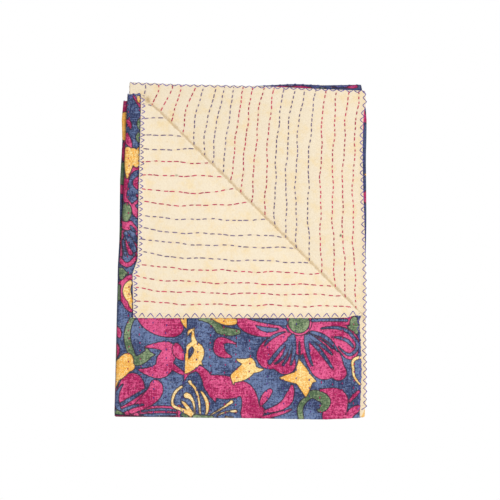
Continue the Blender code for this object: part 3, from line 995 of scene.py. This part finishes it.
def shell(along, up, inner, outer, print_side):
    """One cloth as a closed mesh: a fine outer sheet, a coarse inner one, and the edge between them.

    The outer sheet is a grid of the stations moved by the fold; every third line makes the inner one.
    """
    grid = np.meshgrid(along, up, indexing="ij")
    sign = 1.0 if print_side else -1.0
    face = outer * hem(*grid) + sign * relief(*grid, print_side)
    columns, rows = thin_out(along), thin_out(up)
    back_grid = [places[np.ix_(columns, rows)] for places in grid]
    back = inner * hem(*back_grid)
    fine = np.arange(face.size).reshape(face.shape)
    coarse = face.size + np.arange(back.size).reshape(back.shape)
    all_along, all_up = (
        np.concatenate([places.ravel(), picked.ravel()])
        for places, picked in zip(grid, back_grid)
    )
    depth = np.concatenate([face.ravel(), back.ravel()])

    def quads(index):
        corners = (index[:-1, :-1], index[1:, :-1], index[1:, 1:], index[:-1, 1:])
        return np.stack(corners, axis=-1).reshape(-1, 4).tolist()

    faces = quads(fine) + [quad[::-1] for quad in quads(coarse)]
    rims = (
        (fine[:, 0], coarse[:, 0], columns),
        (fine[-1, :], coarse[-1, :], rows),
        (fine[::-1, -1], coarse[::-1, -1], (len(along) - 1 - columns)[::-1]),
        (fine[0, ::-1], coarse[0, ::-1], (len(up) - 1 - rows)[::-1]),
    )
    for outside, inside, picked in rims:
        for i in range(len(picked) - 1):
            run = outside[picked[i] : picked[i + 1] + 1][::-1].tolist()
            faces.append(run + [int(inside[i]), int(inside[i + 1])])
    return all_along, all_up, depth, faces


def cut_along_crease(mesh):
    """Cut the upper ply along the corner's bend, so that its folded edge is smooth."""
    layers = mesh.verts.layers.float
    along, up = layers["along"], layers["up"]
    diagonal = 1 / math.sqrt(2)
    near = CORNER_START + HEM_RUN / 2
    faces = [
        face
        for face in mesh.faces
        if all(
            corner[up] > 0
            and corner[along] < PANEL_RUN
            and abs((corner.co.x + corner.co.y) * diagonal - near) < 0.02
            for corner in face.verts
        )
    ]
    parts = set(faces)
    for face in faces:
        parts.update(face.edges, face.verts)
    for station in CORNER_STATIONS[1:-1]:
        spot = diagonal * (CORNER_START + station)
        parts = bmesh.ops.bisect_plane(
            mesh,
            geom=list(parts),
            dist=1e-7,
            plane_co=(spot, spot, TOP),
            plane_no=(diagonal, diagonal, 0.0),
        )["geom"]


def write_attribute(data, name, values):
    """A number for each point of a mesh, for its material to read."""
    data.attributes.new(name, "FLOAT", "POINT").data.foreach_set(
        "value", np.asarray(values, dtype=np.float32)
    )


def read_attribute(data, name):
    """A number for each point of a mesh."""
    values = np.empty(len(data.vertices), dtype=np.float32)
    data.attributes[name].data.foreach_get("value", values)
    return values.astype(float)


def face_outwards(data, change=None):
    """Turn a mesh's faces outwards, after a change to the mesh where one is given."""
    mesh = bmesh.new()
    mesh.from_mesh(data)
    if change:
        change(mesh)
    bmesh.ops.recalc_face_normals(mesh, faces=mesh.faces)
    mesh.to_mesh(data)
    mesh.free()


def make_piece(name, data, material):
    """A smooth object of one material."""
    data.materials.append(material)
    data.shade_smooth()
    piece = bpy.data.objects.new(name, data)
    bpy.context.scene.collection.objects.link(piece)
    return piece


def make_cloth(name, along, up, inner, outer, print_side, material):
    """One folded cloth: built with its folds, cut along the crease, and then turned at the corner."""
    along, up, depth, faces = shell(along, up, inner, outer, print_side)
    data = bpy.data.meshes.new(name)
    data.from_pydata(np.stack(fold(along, up, depth), axis=1), [], faces)
    write_attribute(data, "along", along)
    write_attribute(data, "up", up)
    face_outwards(data, cut_along_crease)

    along, up = read_attribute(data, "along"), read_attribute(data, "up")
    spots = np.empty(len(data.vertices) * 3)
    data.vertices.foreach_get("co", spots)
    x, y, z = spots.reshape(-1, 3).T
    lift = loosen(x, y, along, up)
    x, y, z = turn_corner(x, y, z, along, up)
    data.vertices.foreach_set("co", np.stack([x, y, z + lift], axis=1).ravel())

    flat = np.stack(lie_flat(along, up), axis=1)
    corner = np.empty(len(data.loops), dtype=np.int32)
    data.loops.foreach_get("vertex_index", corner)
    layer = data.uv_layers.new(name="cloth")
    layer.data.foreach_set("uv", flat[corner].astype(np.float32).ravel())
    if print_side:
        for key, values in print_fields(along, up).items():
            write_attribute(data, key, values)
    else:
        x, y = flat.T
        write_attribute(data, "row", row_distance(along, up, x, y))
        write_attribute(data, "crease", crease_distance(along, up, x, y))
    piece = make_piece(name, data, material)
    data.set_sharp_from_angle(angle=math.radians(60))
    data.update()
    return piece


# Along a stitch: how far on, how high a running stitch and a slanting edge stitch stand for the radius,
# and how much of that radius there is.
STITCH_SHAPE = table(
    ("way", "rise", "slant", "size"),
    [
        (0.00, -0.80, 0.00, 0.62),
        (0.12, 0.05, 0.10, 0.94),
        (0.50, 0.35, 0.25, 1.00),
        (0.88, 0.05, 0.10, 0.94),
        (1.00, -0.80, 0.00, 0.62),
    ],
)

# The sides of a stitch's tube, and how far its ends wander off their row.
STITCH_SIDES = 5
STITCH_WANDER = 0.0005


def make_threads(name, starts, ends, radius, print_side, material, shape="rise"):
    """Stitches as short tubes that rise out of the cloth and dip back in, or slant over its edge.

    starts and ends are arrays of (along, up, rise), rise being the height over the cloth's surface.
    """
    way = STITCH_SHAPE["way"]
    line = starts[:, None] + (ends - starts)[:, None] * way[None, :, None]
    along, up, rise = line[..., 0], line[..., 1], line[..., 2]
    sign = 1.0 if print_side else -1.0
    inside_up = np.clip(up, -UP_END, UP_END)
    surface = PLY / 2 * hem(np.maximum(along, 0), inside_up)
    surface = surface + relief(np.clip(along, 0, ALONG_END), inside_up, print_side)
    sunk = np.where(along > PANEL_RUN, 0.6 * radius, 0.0)
    height = surface + rise + radius * STITCH_SHAPE[shape] - sunk
    middle = place(along, up, sign * height)
    out = place(along, up, sign * (height + 0.0002)) - middle
    out /= np.linalg.norm(out, axis=-1, keepdims=True)
    run = np.gradient(middle, axis=1)
    side = np.cross(run, out)
    side /= np.linalg.norm(side, axis=-1, keepdims=True)
    angle = 2 * math.pi * np.arange(STITCH_SIDES) / STITCH_SIDES
    size = radius * STITCH_SHAPE["size"][None, :, None, None]
    wide, high = np.cos(angle)[:, None], 0.8 * np.sin(angle)[:, None]
    ring = side[:, :, None] * wide + out[:, :, None] * high
    points = middle[:, :, None] + size * ring
    count, steps = points.shape[:2]
    index = np.arange(count * steps * STITCH_SIDES).reshape(count, steps, STITCH_SIDES)
    turned = np.roll(index, -1, axis=2)
    sides = (index[:, :-1], turned[:, :-1], turned[:, 1:], index[:, 1:])
    faces = np.stack(sides, axis=-1).reshape(-1, 4).tolist()
    faces += index[:, 0, ::-1].tolist() + index[:, -1].tolist()
    data = bpy.data.meshes.new(name)
    data.from_pydata(points.reshape(-1, 3), [], faces)
    face_outwards(data)
    return make_piece(name, data, material)


def locate(x, y, upper):
    """Stations along and up the cloth for places on the top panel's plies, unfolded."""
    edge = "over" if upper else "under"
    left = STRIP_BEND + STRIP / 2 + read_table(LEFT_FOLDS, "upper", y)
    right = read_table(RIGHT_EDGES, edge, y)
    far = (right - x) / (right - left)
    middle = bend_middle(far)
    share = (y - middle) / (read_table(CUT_EDGES, edge, far) - middle)
    up = HEM_RUN / 2 + share * PLY_RUN
    return np.stack([far * PANEL_RUN, up if upper else -up], axis=-1)


def running_rows(rows, low, high, pitch, share, draw):
    """Running stitches up each row between two heights, as places of their starts and ends and colour.

    low and high give each row's limits; pitch is from stitch to stitch, and share is what shows of it.
    """
    starts, ends, red = [], [], []
    for i, row in enumerate(rows):
        bottom, top = low(row), high(row)
        y = bottom + draw.uniform(0, 0.25 * pitch)
        while y < top - 0.003:
            length = pitch * share * draw.uniform(0.72, 1.22)
            both = np.array([y, min(y + length, top - 0.001)])
            x = row_places(rows[i : i + 1], both)[:, 0]
            x = x + draw.uniform(-STITCH_WANDER, STITCH_WANDER, 2)
            starts.append((x[0], both[0]))
            ends.append((x[1], both[1]))
            red.append(row["red"])
            y += pitch * draw.uniform(0.85, 1.15)
    return np.array(starts), np.array(ends), np.array(red, dtype=bool)


def stitched(starts, ends, upper):
    """Stations and a resting height for stitches given by their places on a ply."""
    pair = []
    for spots in (starts, ends):
        station = locate(spots[:, 0], spots[:, 1], upper)
        pair.append(np.concatenate([station, np.zeros((len(spots), 1))], axis=1))
    return pair


def zigzag(run, draw):
    """The two slanting threads of each tooth along a cut edge, from a run of make_edging.

    The edge is at the fixed station; inside and outside are the reach of the teeth from it.
    """
    length = run["stop"] - run["start"]
    count = max(1, int(round(length / run["period"])))
    step = length / count
    teeth = run["start"] + step * (np.arange(2 * count + 1) / 2)
    teeth = teeth + draw.uniform(-0.07, 0.07, len(teeth)) * step
    inner = np.arange(len(teeth)) % 2 == 0
    reach = np.where(
        inner,
        run["inside"] * draw.uniform(0.8, 1.12, len(teeth)),
        -run["outside"] * draw.uniform(0.7, 1.2, len(teeth)),
    )
    inwards = -1 if run["fixed"] > 0 else 1
    across = run["fixed"] + inwards * reach
    rise = np.where(inner, 0.0001, -0.0006)
    spots = (teeth, across) if run["along_edge"] else (across, teeth)
    points = np.stack([*spots, rise], axis=1)
    return points[:-1], points[1:]


# Looks: colours are linear, and a pair is a dark one and a light one. An outline's width is in metres, and
# its strength is by layer.
CREAM = (0.80, 0.695, 0.525)
CREAM_YELLOW = (0.81, 0.65, 0.40)
CREAM_SLUB = (0.83, 0.74, 0.57)
# A darker cream: painted shade in the pinched creases and along the rows of stitches, and the cloth's own
# random finer tone.
CREAM_TONE_AND_SHADE = (0.62, 0.46, 0.32)
# Painted shade near the top panel's free edge.
CREAM_EDGE_SHADE = (0.76, 0.60, 0.37)
# Painted shade over the ply below the corner, as a multiplier.
CREAM_PLY_SHADE = (0.955, 0.955, 0.955)
# Tan painted shade, for the line along the crease and the pucker where the corner's fold starts.
CREASE_SHADE_TAN = (0.50, 0.36, 0.19)
CREAM_OLIVE = (0.170, 0.160, 0.085)
INK = (0.028, 0.018, 0.034)
# Pale flecks: worn-off dye and painted highlights of the fine crinkles.
PALE_FLECK_WEAR_AND_HIGHLIGHT = (0.66, 0.60, 0.56)
BLUE = ((0.026, 0.038, 0.108), (0.145, 0.205, 0.370))
MAGENTA = ((0.340, 0.007, 0.080), (0.750, 0.105, 0.265))
LAYER_COLOURS = {
    "ground": BLUE,
    "petal": MAGENTA,
    "petal_over": MAGENTA,
    "slash": BLUE,
    "leaf": ((0.070, 0.125, 0.060), (0.270, 0.345, 0.190)),
    "gold": ((0.880, 0.430, 0.070), (0.960, 0.730, 0.320)),
    "stamen": ((0.880, 0.500, 0.130), (0.960, 0.780, 0.430)),
}
OUTLINE = 0.0015
OUTLINE_STRENGTH = {
    "petal": 0.85,
    "petal_over": 0.85,
    "slash": 0.80,
    "leaf": 0.85,
    "gold": 0.80,
    "stamen": 0.85,
}
RED_THREAD = ((0.36, 0.012, 0.070), (0.62, 0.055, 0.125))
GREY_THREAD = ((0.115, 0.080, 0.170), (0.230, 0.180, 0.290))
EDGE_THREAD = ((0.080, 0.050, 0.260), (0.150, 0.105, 0.400))
RED_DOTS = ((0.300, 0.008, 0.090), (0.430, 0.015, 0.120))
VIOLET_DOTS = ((0.060, 0.030, 0.190), (0.120, 0.060, 0.280))

# The threads: their radius, the dots' pitch and length on the underside, and where the top panel's right
# edge is and how wide the panel is, for finding its cut edge.
THREAD_RADIUS = 0.00108
DOT_RADIUS = 0.00105
EDGING_RADIUS = 0.00084
DOT_PITCH = 0.0150
DOT_LENGTH = 0.0030
PANEL_RIGHT = 0.23
PANEL_WIDE = 0.45

# The floor, the light and the camera.
FLOOR_SIZE = 14.0
FLOOR_HEIGHT = -0.0006
WORLD_STRENGTH = 0.54
KEY_WATTS = 92.0
KEY_SIZE = 1.5
KEY_PLACE = (1.17, 0.15, 3.36)
CAMERA_DISTANCE = 3.2
CAMERA_AIM = (0.0179, 0.0015)
FRAME_WIDTH = 0.9205


def add(tree, kind, inputs=None, **settings):
    """A shader node with its settings, and its inputs given as values or linked sockets."""
    node = tree.nodes.new(kind)
    for key, value in settings.items():
        setattr(node, key, value)
    for socket, value in (inputs or {}).items():
        if isinstance(value, bpy.types.NodeSocket):
            tree.links.new(value, node.inputs[socket])
        else:
            node.inputs[socket].default_value = value
    return node


def maths(tree, operation, first, second=0.0):
    """One sum on two values."""
    return add(tree, "ShaderNodeMath", {0: first, 1: second}, operation=operation).outputs[0]


def ramp(tree, value, low, high, start=0.0, end=1.0):
    """A value eased from start at low to end at high."""
    inputs = {"Value": value, "From Min": low, "From Max": high, "To Min": start, "To Max": end}
    return add(tree, "ShaderNodeMapRange", inputs, interpolation_type="SMOOTHSTEP").outputs[0]


def blend(tree, factor, first, second, blend_type="MIX"):
    """Two colours mixed."""
    node = add(tree, "ShaderNodeMix", data_type="RGBA", blend_type=blend_type)
    for socket, value in ((0, factor), (6, first), (7, second)):
        if isinstance(value, bpy.types.NodeSocket):
            tree.links.new(value, node.inputs[socket])
        else:
            node.inputs[socket].default_value = value if socket == 0 else (*value, 1.0)
    return node.outputs[2]


def noise(tree, vector, scale, detail, roughness, stretch=None):
    """Soft noise from 0 to 1, stretched by a scale across and up where one is given."""
    if stretch:
        vector = add(tree, "ShaderNodeMapping", {"Vector": vector, "Scale": (*stretch, 1.0)}).outputs[0]
    inputs = {"Vector": vector, "Scale": scale, "Detail": detail, "Roughness": roughness}
    return add(tree, "ShaderNodeTexNoise", inputs).outputs[0]


def attribute(tree, name):
    """A number that the mesh holds for each point."""
    node = add(tree, "ShaderNodeAttribute", attribute_name=name, attribute_type="GEOMETRY")
    return node.outputs["Fac"]


def cotton_group():
    """The weave, slubs and crinkles of plain cotton, shared by both cloths.

    Height is in millimetres, Slub is where thick yarn shows, Crease is where the cloth is pinched and
    Ridge is along the fine crinkles that stand up.
    """
    tree = bpy.data.node_groups.new("cotton_cloth", "ShaderNodeTree")
    tree.interface.new_socket("Vector", in_out="INPUT", socket_type="NodeSocketVector")
    for name in ("Height", "Slub", "Crease", "Ridge"):
        tree.interface.new_socket(name, in_out="OUTPUT", socket_type="NodeSocketFloat")
    vector = add(tree, "NodeGroupInput").outputs["Vector"]
    yarns = [
        add(
            tree,
            "ShaderNodeTexWave",
            {"Vector": vector, "Scale": 450.0, "Distortion": 1.2, "Detail": 1.0},
            bands_direction=way,
        ).outputs["Fac"]
        for way in ("X", "Y")
    ]
    weave = maths(tree, "ADD", yarns[0], yarns[1])
    slubs = [noise(tree, vector, 1.0, 2.0, 0.6, stretch) for stretch in ((45, 620), (620, 45))]
    slub = ramp(tree, maths(tree, "MAXIMUM", slubs[0], slubs[1]), 0.55, 0.75)
    crease = noise(tree, vector, 1.0, 3.0, 0.65, (150, 190))
    crease = maths(tree, "ABSOLUTE", maths(tree, "SUBTRACT", crease, 0.5))
    crease = ramp(tree, crease, 0.040, 0.0)
    ridges = []
    for stretch in ((230, 62), (62, 230)):
        run = noise(tree, vector, 1.0, 1.5, 0.5, stretch)
        run = maths(tree, "ABSOLUTE", maths(tree, "SUBTRACT", run, 0.5))
        ridges.append(ramp(tree, run, 0.070, 0.005))
    ridge = maths(tree, "MAXIMUM", ridges[0], ridges[1])
    swell = noise(tree, vector, 210.0, 3.0, 0.6)
    height = maths(tree, "MULTIPLY", weave, 0.03)
    for part, depth in ((slub, 0.05), (crease, -0.15), (ridge, 0.14), (swell, 0.50)):
        height = maths(tree, "ADD", height, maths(tree, "MULTIPLY", part, depth))
    outputs = {"Height": height, "Slub": slub, "Crease": crease, "Ridge": ridge}
    add(tree, "NodeGroupOutput", outputs)
    return tree


def start_material(name):
    """An empty node material with its surface and output."""
    material = bpy.data.materials.new(name)
    material.use_nodes = True
    tree = material.node_tree
    return material, tree, tree.nodes["Principled BSDF"]


def cotton(tree, group):
    """The shared cotton effect on the cloth's own map."""
    vector = add(tree, "ShaderNodeUVMap", uv_map="cloth").outputs[0]
    node = add(tree, "ShaderNodeGroup", node_tree=group)
    tree.links.new(vector, node.inputs["Vector"])
    return vector, node.outputs


def dress(tree, surface, colour, height, roughness, bump):
    """Set a cloth's colour, its bump from a height in millimetres, and its finish."""
    tree.links.new(colour, surface.inputs["Base Color"])
    normal = add(tree, "ShaderNodeBump", {"Height": height, "Strength": bump, "Distance": 0.001})
    tree.links.new(normal.outputs[0], surface.inputs["Normal"])
    surface.inputs["Roughness"].default_value = roughness
    surface.inputs["Specular IOR Level"].default_value = 0.25


def stain_and_pucker_shade(tree, vector, colour):
    """A cloth's colour with the small marks over it, each a ragged soft oval: olive stains, and the tan
    painted shade of the pucker where the corner's fold starts.
    """
    spot = add(tree, "ShaderNodeTexCoord").outputs["Object"]
    ragged = ramp(tree, noise(tree, vector, 650.0, 2.0, 0.6), 0.36, 0.64, -0.30, 0.30)
    for mark in STAINS_AND_PUCKER_SHADE:
        oval = {
            "Vector": spot,
            "Location": (mark["x"], mark["y"], 0.0),
            "Scale": (mark["wide"], mark["high"], 1.0),
        }
        away = add(tree, "ShaderNodeMapping", oval, vector_type="TEXTURE").outputs[0]
        away = add(tree, "ShaderNodeVectorMath", {0: away}, operation="LENGTH").outputs["Value"]
        shown = ramp(tree, maths(tree, "ADD", away, ragged), 1.25, 0.35, 0.0, mark["strength"])
        # Olive marks are stains; the tan one is painted shade of a pucker.
        colour = blend(tree, shown, colour, CREAM_OLIVE if mark["olive"] else CREASE_SHADE_TAN)
    return colour


def cream_material(group):
    """Undyed slub cotton: warm cream, yellower in patches, a little stained, with a random finer tone, and
    with painted shade along its stitches, in its creases, near the top panel's free edge, over the ply
    below the corner, in a tan line along the crease and at the pucker where the corner's fold starts.
    """
    material, tree, surface = start_material("cream_cotton")
    vector, cloth = cotton(tree, group)
    patches = ramp(tree, noise(tree, vector, 34.0, 4.0, 0.72), 0.44, 0.72)
    colour = blend(tree, patches, CREAM, CREAM_YELLOW)
    colour = blend(tree, maths(tree, "MULTIPLY", cloth["Slub"], 0.45), colour, CREAM_SLUB)
    # Painted shade in the pinched creases.
    colour = blend(tree, maths(tree, "MULTIPLY", cloth["Crease"], 0.16), colour, CREAM_TONE_AND_SHADE)
    # Painted shade along the sewn-in rows of stitches, where the cloth dips.
    sewn = ramp(tree, attribute(tree, "row"), 0.0028, 0.0004, 0.0, 0.30)
    colour = blend(tree, sewn, colour, CREAM_TONE_AND_SHADE)
    grain = noise(tree, vector, 1.0, 2.0, 0.7, (260, 420))
    colour = blend(tree, ramp(tree, grain, 0.46, 0.30, 0.0, 0.26), colour, CREAM_TONE_AND_SHADE)
    # Painted shade near the top panel's free edge, where the cream strip shows at the right.
    side = ramp(tree, attribute(tree, "along"), 0.0115, 0.0040, 0.0, 0.50)
    colour = blend(tree, side, colour, CREAM_EDGE_SHADE)
    crease = attribute(tree, "crease")
    # Painted shade: the ply below the corner, out from the crease, is drawn a little darker than the
    # corner.
    under = ramp(tree, crease, 0.0, 0.0040)
    colour = blend(tree, under, colour, CREAM_PLY_SHADE, "MULTIPLY")
    # A tan line of painted shade along the crease, on the ply beside it, uneven in width.
    uneven = ramp(tree, noise(tree, vector, 120.0, 3.0, 0.6), 0.36, 0.64, -0.0012, 0.0014)
    near = maths(tree, "ABSOLUTE", maths(tree, "SUBTRACT", crease, 0.0018))
    near = maths(tree, "SUBTRACT", near, uneven)
    near = ramp(tree, near, 0.0042, 0.0004, 0.0, 0.58)
    colour = blend(tree, near, colour, CREASE_SHADE_TAN)
    colour = stain_and_pucker_shade(tree, vector, colour)
    dress(tree, surface, colour, cloth["Height"], 0.92, 0.55)
    return material


def print_material(group):
    """Hand-printed cotton: each layer of motifs over the blue ground, with its dark outline, worn streaks
    and fading, and painted highlights and shade: lighter dye on the crinkles' ridges and in pale flecks,
    darker in the pinched creases and on the panels below the top one.
    """
    material, tree, surface = start_material("printed_cotton")
    vector, cloth = cotton(tree, group)
    wobble = maths(tree, "SUBTRACT", noise(tree, vector, 260.0, 2.0, 0.6), 0.5)
    wobble = maths(tree, "MULTIPLY", wobble, 0.0016)
    fibres = [noise(tree, vector, 1.0, 3.0, 0.7, stretch) for stretch in ((340, 75), (75, 340))]
    streaks = maths(tree, "ADD", fibres[0], fibres[1])
    streaks = maths(tree, "MULTIPLY", streaks, 0.5)
    faded = ramp(tree, noise(tree, vector, 17.0, 2.0, 0.5), 0.35, 0.68, -0.10, 0.10)
    wear_and_painted_light = maths(tree, "ADD", streaks, faded)
    # Painted highlight along the crinkles' ridges and painted shade in the pinched creases, as lighter and
    # darker dye.
    for part, share in (("Ridge", 0.15), ("Crease", -0.12)):
        wear_and_painted_light = maths(tree, "ADD", wear_and_painted_light, maths(tree, "MULTIPLY", cloth[part], share))
    wear_and_painted_light = ramp(tree, wear_and_painted_light, 0.42, 0.69)
    # Painted shade on the panels below the top one, drawn as darker dye.
    hidden_shade = maths(tree, "MULTIPLY", attribute(tree, "hidden_panel_shade"), -0.75)
    wear_and_painted_light = maths(tree, "MULTIPLY", wear_and_painted_light, maths(tree, "ADD", hidden_shade, 1.0))
    colour = blend(tree, wear_and_painted_light, *LAYER_COLOURS["ground"])
    for layer in LAYERS:
        distance = maths(tree, "ADD", attribute(tree, layer), wobble)
        inside = ramp(tree, distance, 0.0004, -0.0004)
        dye = blend(tree, wear_and_painted_light, *LAYER_COLOURS[layer])
        colour = blend(tree, inside, colour, dye)
        line = ramp(tree, maths(tree, "ABSOLUTE", distance), OUTLINE, OUTLINE * 0.35)
        line = maths(tree, "MULTIPLY", line, OUTLINE_STRENGTH[layer])
        colour = blend(tree, line, colour, INK)
    # Painted shade in the pinched creases.
    painted_crease_shade = maths(tree, "MULTIPLY", cloth["Crease"], 0.30)
    colour = blend(tree, painted_crease_shade, colour, INK)
    # Pale flecks of worn dye and painted highlight on the crinkles.
    fleck_wear_and_highlight = noise(tree, vector, 1.0, 2.0, 0.75, (420, 300))
    colour = blend(tree, ramp(tree, fleck_wear_and_highlight, 0.61, 0.73, 0.0, 0.42), colour, PALE_FLECK_WEAR_AND_HIGHLIGHT)
    seam = ramp(tree, attribute(tree, "seam"), 0.0022, 0.0006, 0.0, 0.55)
    colour = blend(tree, seam, colour, INK)
    dress(tree, surface, colour, cloth["Height"], 0.88, 0.9)
    return material


def thread_material(name, dark, light):
    """Cotton thread: its colour varies a little from stitch to stitch, with a fine twist."""
    material, tree, surface = start_material(name)
    vector = add(tree, "ShaderNodeTexCoord").outputs["Object"]
    tone = noise(tree, vector, 1.0, 2.0, 0.6, (60, 14))
    colour = blend(tree, ramp(tree, tone, 0.35, 0.65), dark, light)
    twist = add(
        tree,
        "ShaderNodeTexWave",
        {"Vector": vector, "Scale": 420.0, "Distortion": 0.5},
        bands_direction="DIAGONAL",
    ).outputs["Fac"]
    dress(tree, surface, colour, maths(tree, "MULTIPLY", twist, 0.12), 0.7, 0.6)
    return material


def top_cut(edge, x):
    """How far up the top panel a ply is cut, at a place across it."""
    return read_table(CUT_EDGES, edge, (PANEL_RIGHT - x) / PANEL_WIDE)


def make_stitches(draw, threads):
    """Every running stitch that shows, on the cream back and on the print, by the colour of its thread."""
    groups = (
        {
            "part": "corner",
            "rows": UPPER_ROWS[3:],
            "low": lambda row: CREASE - row["crease"] + 0.0020,
            "high": lambda row: top_cut("over", row["edge"]) - 0.004,
            "pitch": 0.0136,
            "share": 0.71,
            "upper": True,
            "print_side": False,
        },
        {
            "part": "ply",
            "rows": LOWER_ROWS,
            "low": lambda row: min(CREASE - row["crease"], 0.286) - 0.008,
            "high": lambda row: top_cut("under", row["edge"]) - 0.001,
            "pitch": 0.0095,
            "share": 0.68,
            "upper": False,
            "print_side": False,
        },
        {
            "part": "print",
            "rows": UPPER_ROWS,
            "low": lambda row: -0.300,
            "high": lambda row: min(CREASE - row["crease"] - 0.006, 0.288),
            "pitch": 0.0140,
            "share": 0.28,
            "upper": True,
            "print_side": True,
        },
    )
    pieces = {True: [], False: []}
    for group in groups:
        limits = (group["low"], group["high"])
        spacing = (group["pitch"], group["share"])
        starts, ends, red = running_rows(group["rows"], *limits, *spacing, draw)
        print_side = group["print_side"]
        radius = DOT_RADIUS if print_side else THREAD_RADIUS
        for colour, picked in (("red", red), ("grey", ~red)):
            begin, finish = stitched(starts[picked], ends[picked], group["upper"])
            name = f"{colour}_stitches_{group['part']}"
            thread = threads[f"{colour}_{'dots' if print_side else 'thread'}"]
            piece = make_threads(name, begin, finish, radius, print_side, thread)
            pieces[print_side].append(piece)
    return pieces


def make_underside_dots(draw, thread):
    """The dots of the running stitches on the print that faces the shelf."""
    start = (PANELS - 1) * (PANEL_RUN + FOLD_RUN)
    near, far = 0.012, 0.008
    along, up = np.meshgrid(
        np.arange(start + near, start + PANEL_RUN - far, ROW_PITCH),
        np.arange(near, UP_END - far, DOT_PITCH),
        indexing="ij",
    )
    along = along.ravel() + draw.uniform(-0.0006, 0.0006, along.size)
    up = up.ravel() + draw.uniform(-0.003, 0.003, up.size)
    rise = np.zeros(along.size)
    begin = np.stack([along, up, rise], axis=1)
    finish = np.stack([along, up + DOT_LENGTH, rise], axis=1)
    return make_threads("red_stitches_underside", begin, finish, DOT_RADIUS, True, thread)


def make_edging(draw, thread):
    """The zigzag thread whipped round every cut edge, on both faces of the throw."""
    crossing = HEM_RUN / 2 + 0.31 * PLY_RUN
    bend = 0.014
    runs = table(
        ("fixed", "start", "stop", "period", "inside", "outside", "along_edge"),
        [
            (UP_END, 0.0, ALONG_END, 0.0108, 0.0080, 0.0014, True),
            (-UP_END, 0.0, ALONG_END, 0.0150, 0.0038, 0.0004, True),
            (0.0, crossing, UP_END, 0.0161, 0.0086, 0.0010, False),
            (0.0, bend, crossing, 0.0140, 0.0048, 0.0006, False),
            (0.0, -UP_END, -bend, 0.0137, 0.0054, 0.0014, False),
            (ALONG_END, -UP_END, UP_END, 0.0150, 0.0050, 0.0014, False),
        ],
    )
    pieces = {}
    for name, print_side in (("edging_on_cream", False), ("edging_on_print", True)):
        begins, finishes = zip(*(zigzag(run, draw) for run in runs))
        begin, finish = np.concatenate(begins), np.concatenate(finishes)
        sewn = make_threads(name, begin, finish, EDGING_RADIUS, print_side, thread, "slant")
        pieces[print_side] = [sewn]
    return pieces


def make_stage():
    """A plain white floor, soft light from all round and a little more from the right."""
    bpy.ops.mesh.primitive_plane_add(size=FLOOR_SIZE, location=(0.0, 0.0, FLOOR_HEIGHT))
    floor = bpy.context.object
    floor.name = "floor"
    material = bpy.data.materials.new("white_floor")
    material.use_nodes = True
    tree = material.node_tree
    tree.nodes.clear()
    glow = add(tree, "ShaderNodeEmission", {"Color": (1.0, 1.0, 1.0, 1.0), "Strength": 1.0})
    output = add(tree, "ShaderNodeOutputMaterial")
    tree.links.new(glow.outputs[0], output.inputs["Surface"])
    floor.data.materials.append(material)

    world = bpy.data.worlds.new("studio")
    world.use_nodes = True
    backdrop = world.node_tree.nodes["Background"]
    backdrop.inputs["Color"].default_value = (1.0, 1.0, 1.0, 1.0)
    backdrop.inputs["Strength"].default_value = WORLD_STRENGTH
    bpy.context.scene.world = world

    lamp = bpy.data.lights.new("soft_key", "AREA")
    lamp.shape = "DISK"
    lamp.size = KEY_SIZE
    lamp.energy = KEY_WATTS
    key = bpy.data.objects.new("soft_key", lamp)
    key.location = KEY_PLACE
    x, y, height = KEY_PLACE
    key.rotation_euler = (math.atan2(math.hypot(x, y), height), 0.0, math.atan2(x, -y))
    bpy.context.scene.collection.objects.link(key)


def make_camera():
    """A long lens straight above, framed as the photograph is."""
    lens = bpy.data.cameras.new("camera")
    lens.sensor_width = 36.0
    lens.lens = lens.sensor_width * CAMERA_DISTANCE / FRAME_WIDTH
    lens.clip_end = 20.0
    camera = bpy.data.objects.new("camera", lens)
    camera.location = (*CAMERA_AIM, TOP + CAMERA_DISTANCE)
    bpy.context.scene.collection.objects.link(camera)
    bpy.context.scene.camera = camera


def main():
    """Build both cloths, their stitches and edging, and the studio.

    A cloth's stations up it are runs of (start, end, step), fine where the cloth shows.
    """
    bpy.context.scene.view_settings.view_transform = "Standard"
    make_camera()
    group = cotton_group()
    crease_up = HEM_RUN / 2 + 0.27 * PLY_RUN
    apron_up = crease_up + 0.035
    print_ups = [
        (-UP_END + 0.006, -0.012, 0.020),
        (-0.012, -HEM_RUN / 2, 0.004),
        (HEM_RUN / 2, apron_up, 0.0024),
        (apron_up, UP_END - 0.006, 0.0034),
    ]
    cream_ups = [
        (-UP_END + 0.004, -crease_up, 0.0036),
        (-crease_up, -HEM_RUN / 2, 0.020),
        (HEM_RUN / 2, crease_up, 0.020),
        (crease_up, UP_END - 0.004, 0.0036),
    ]
    printed = make_cloth(
        "printed_cloth",
        strip_stations(0.0024),
        ply_stations(print_ups),
        CLOTH_GAP / 2,
        PLY / 2,
        True,
        print_material(group),
    )
    cream = make_cloth(
        "cream_cloth",
        strip_stations(0.0030),
        ply_stations(cream_ups),
        -CLOTH_GAP / 2,
        -PLY / 2,
        False,
        cream_material(group),
    )
    draw = np.random.RandomState(11)
    threads = {
        "red_thread": thread_material("red_thread", *RED_THREAD),
        "grey_thread": thread_material("grey_thread", *GREY_THREAD),
        "red_dots": thread_material("red_dots", *RED_DOTS),
        "grey_dots": thread_material("grey_dots", *VIOLET_DOTS),
    }
    stitches = make_stitches(draw, threads)
    stitches[True].append(make_underside_dots(draw, threads["red_dots"]))
    edging = make_edging(draw, thread_material("edging_thread", *EDGE_THREAD))
    for print_side, cloth, node, slot in (
        (True, printed, "printed_face", "printed_cotton"),
        (False, cream, "cream_back", "cream_cotton"),
    ):
        sewn = stitches[print_side] + edging[print_side]
        for piece in [cloth, *sewn]:
            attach(piece, "root")
            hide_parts(node)
    make_stage()


main()
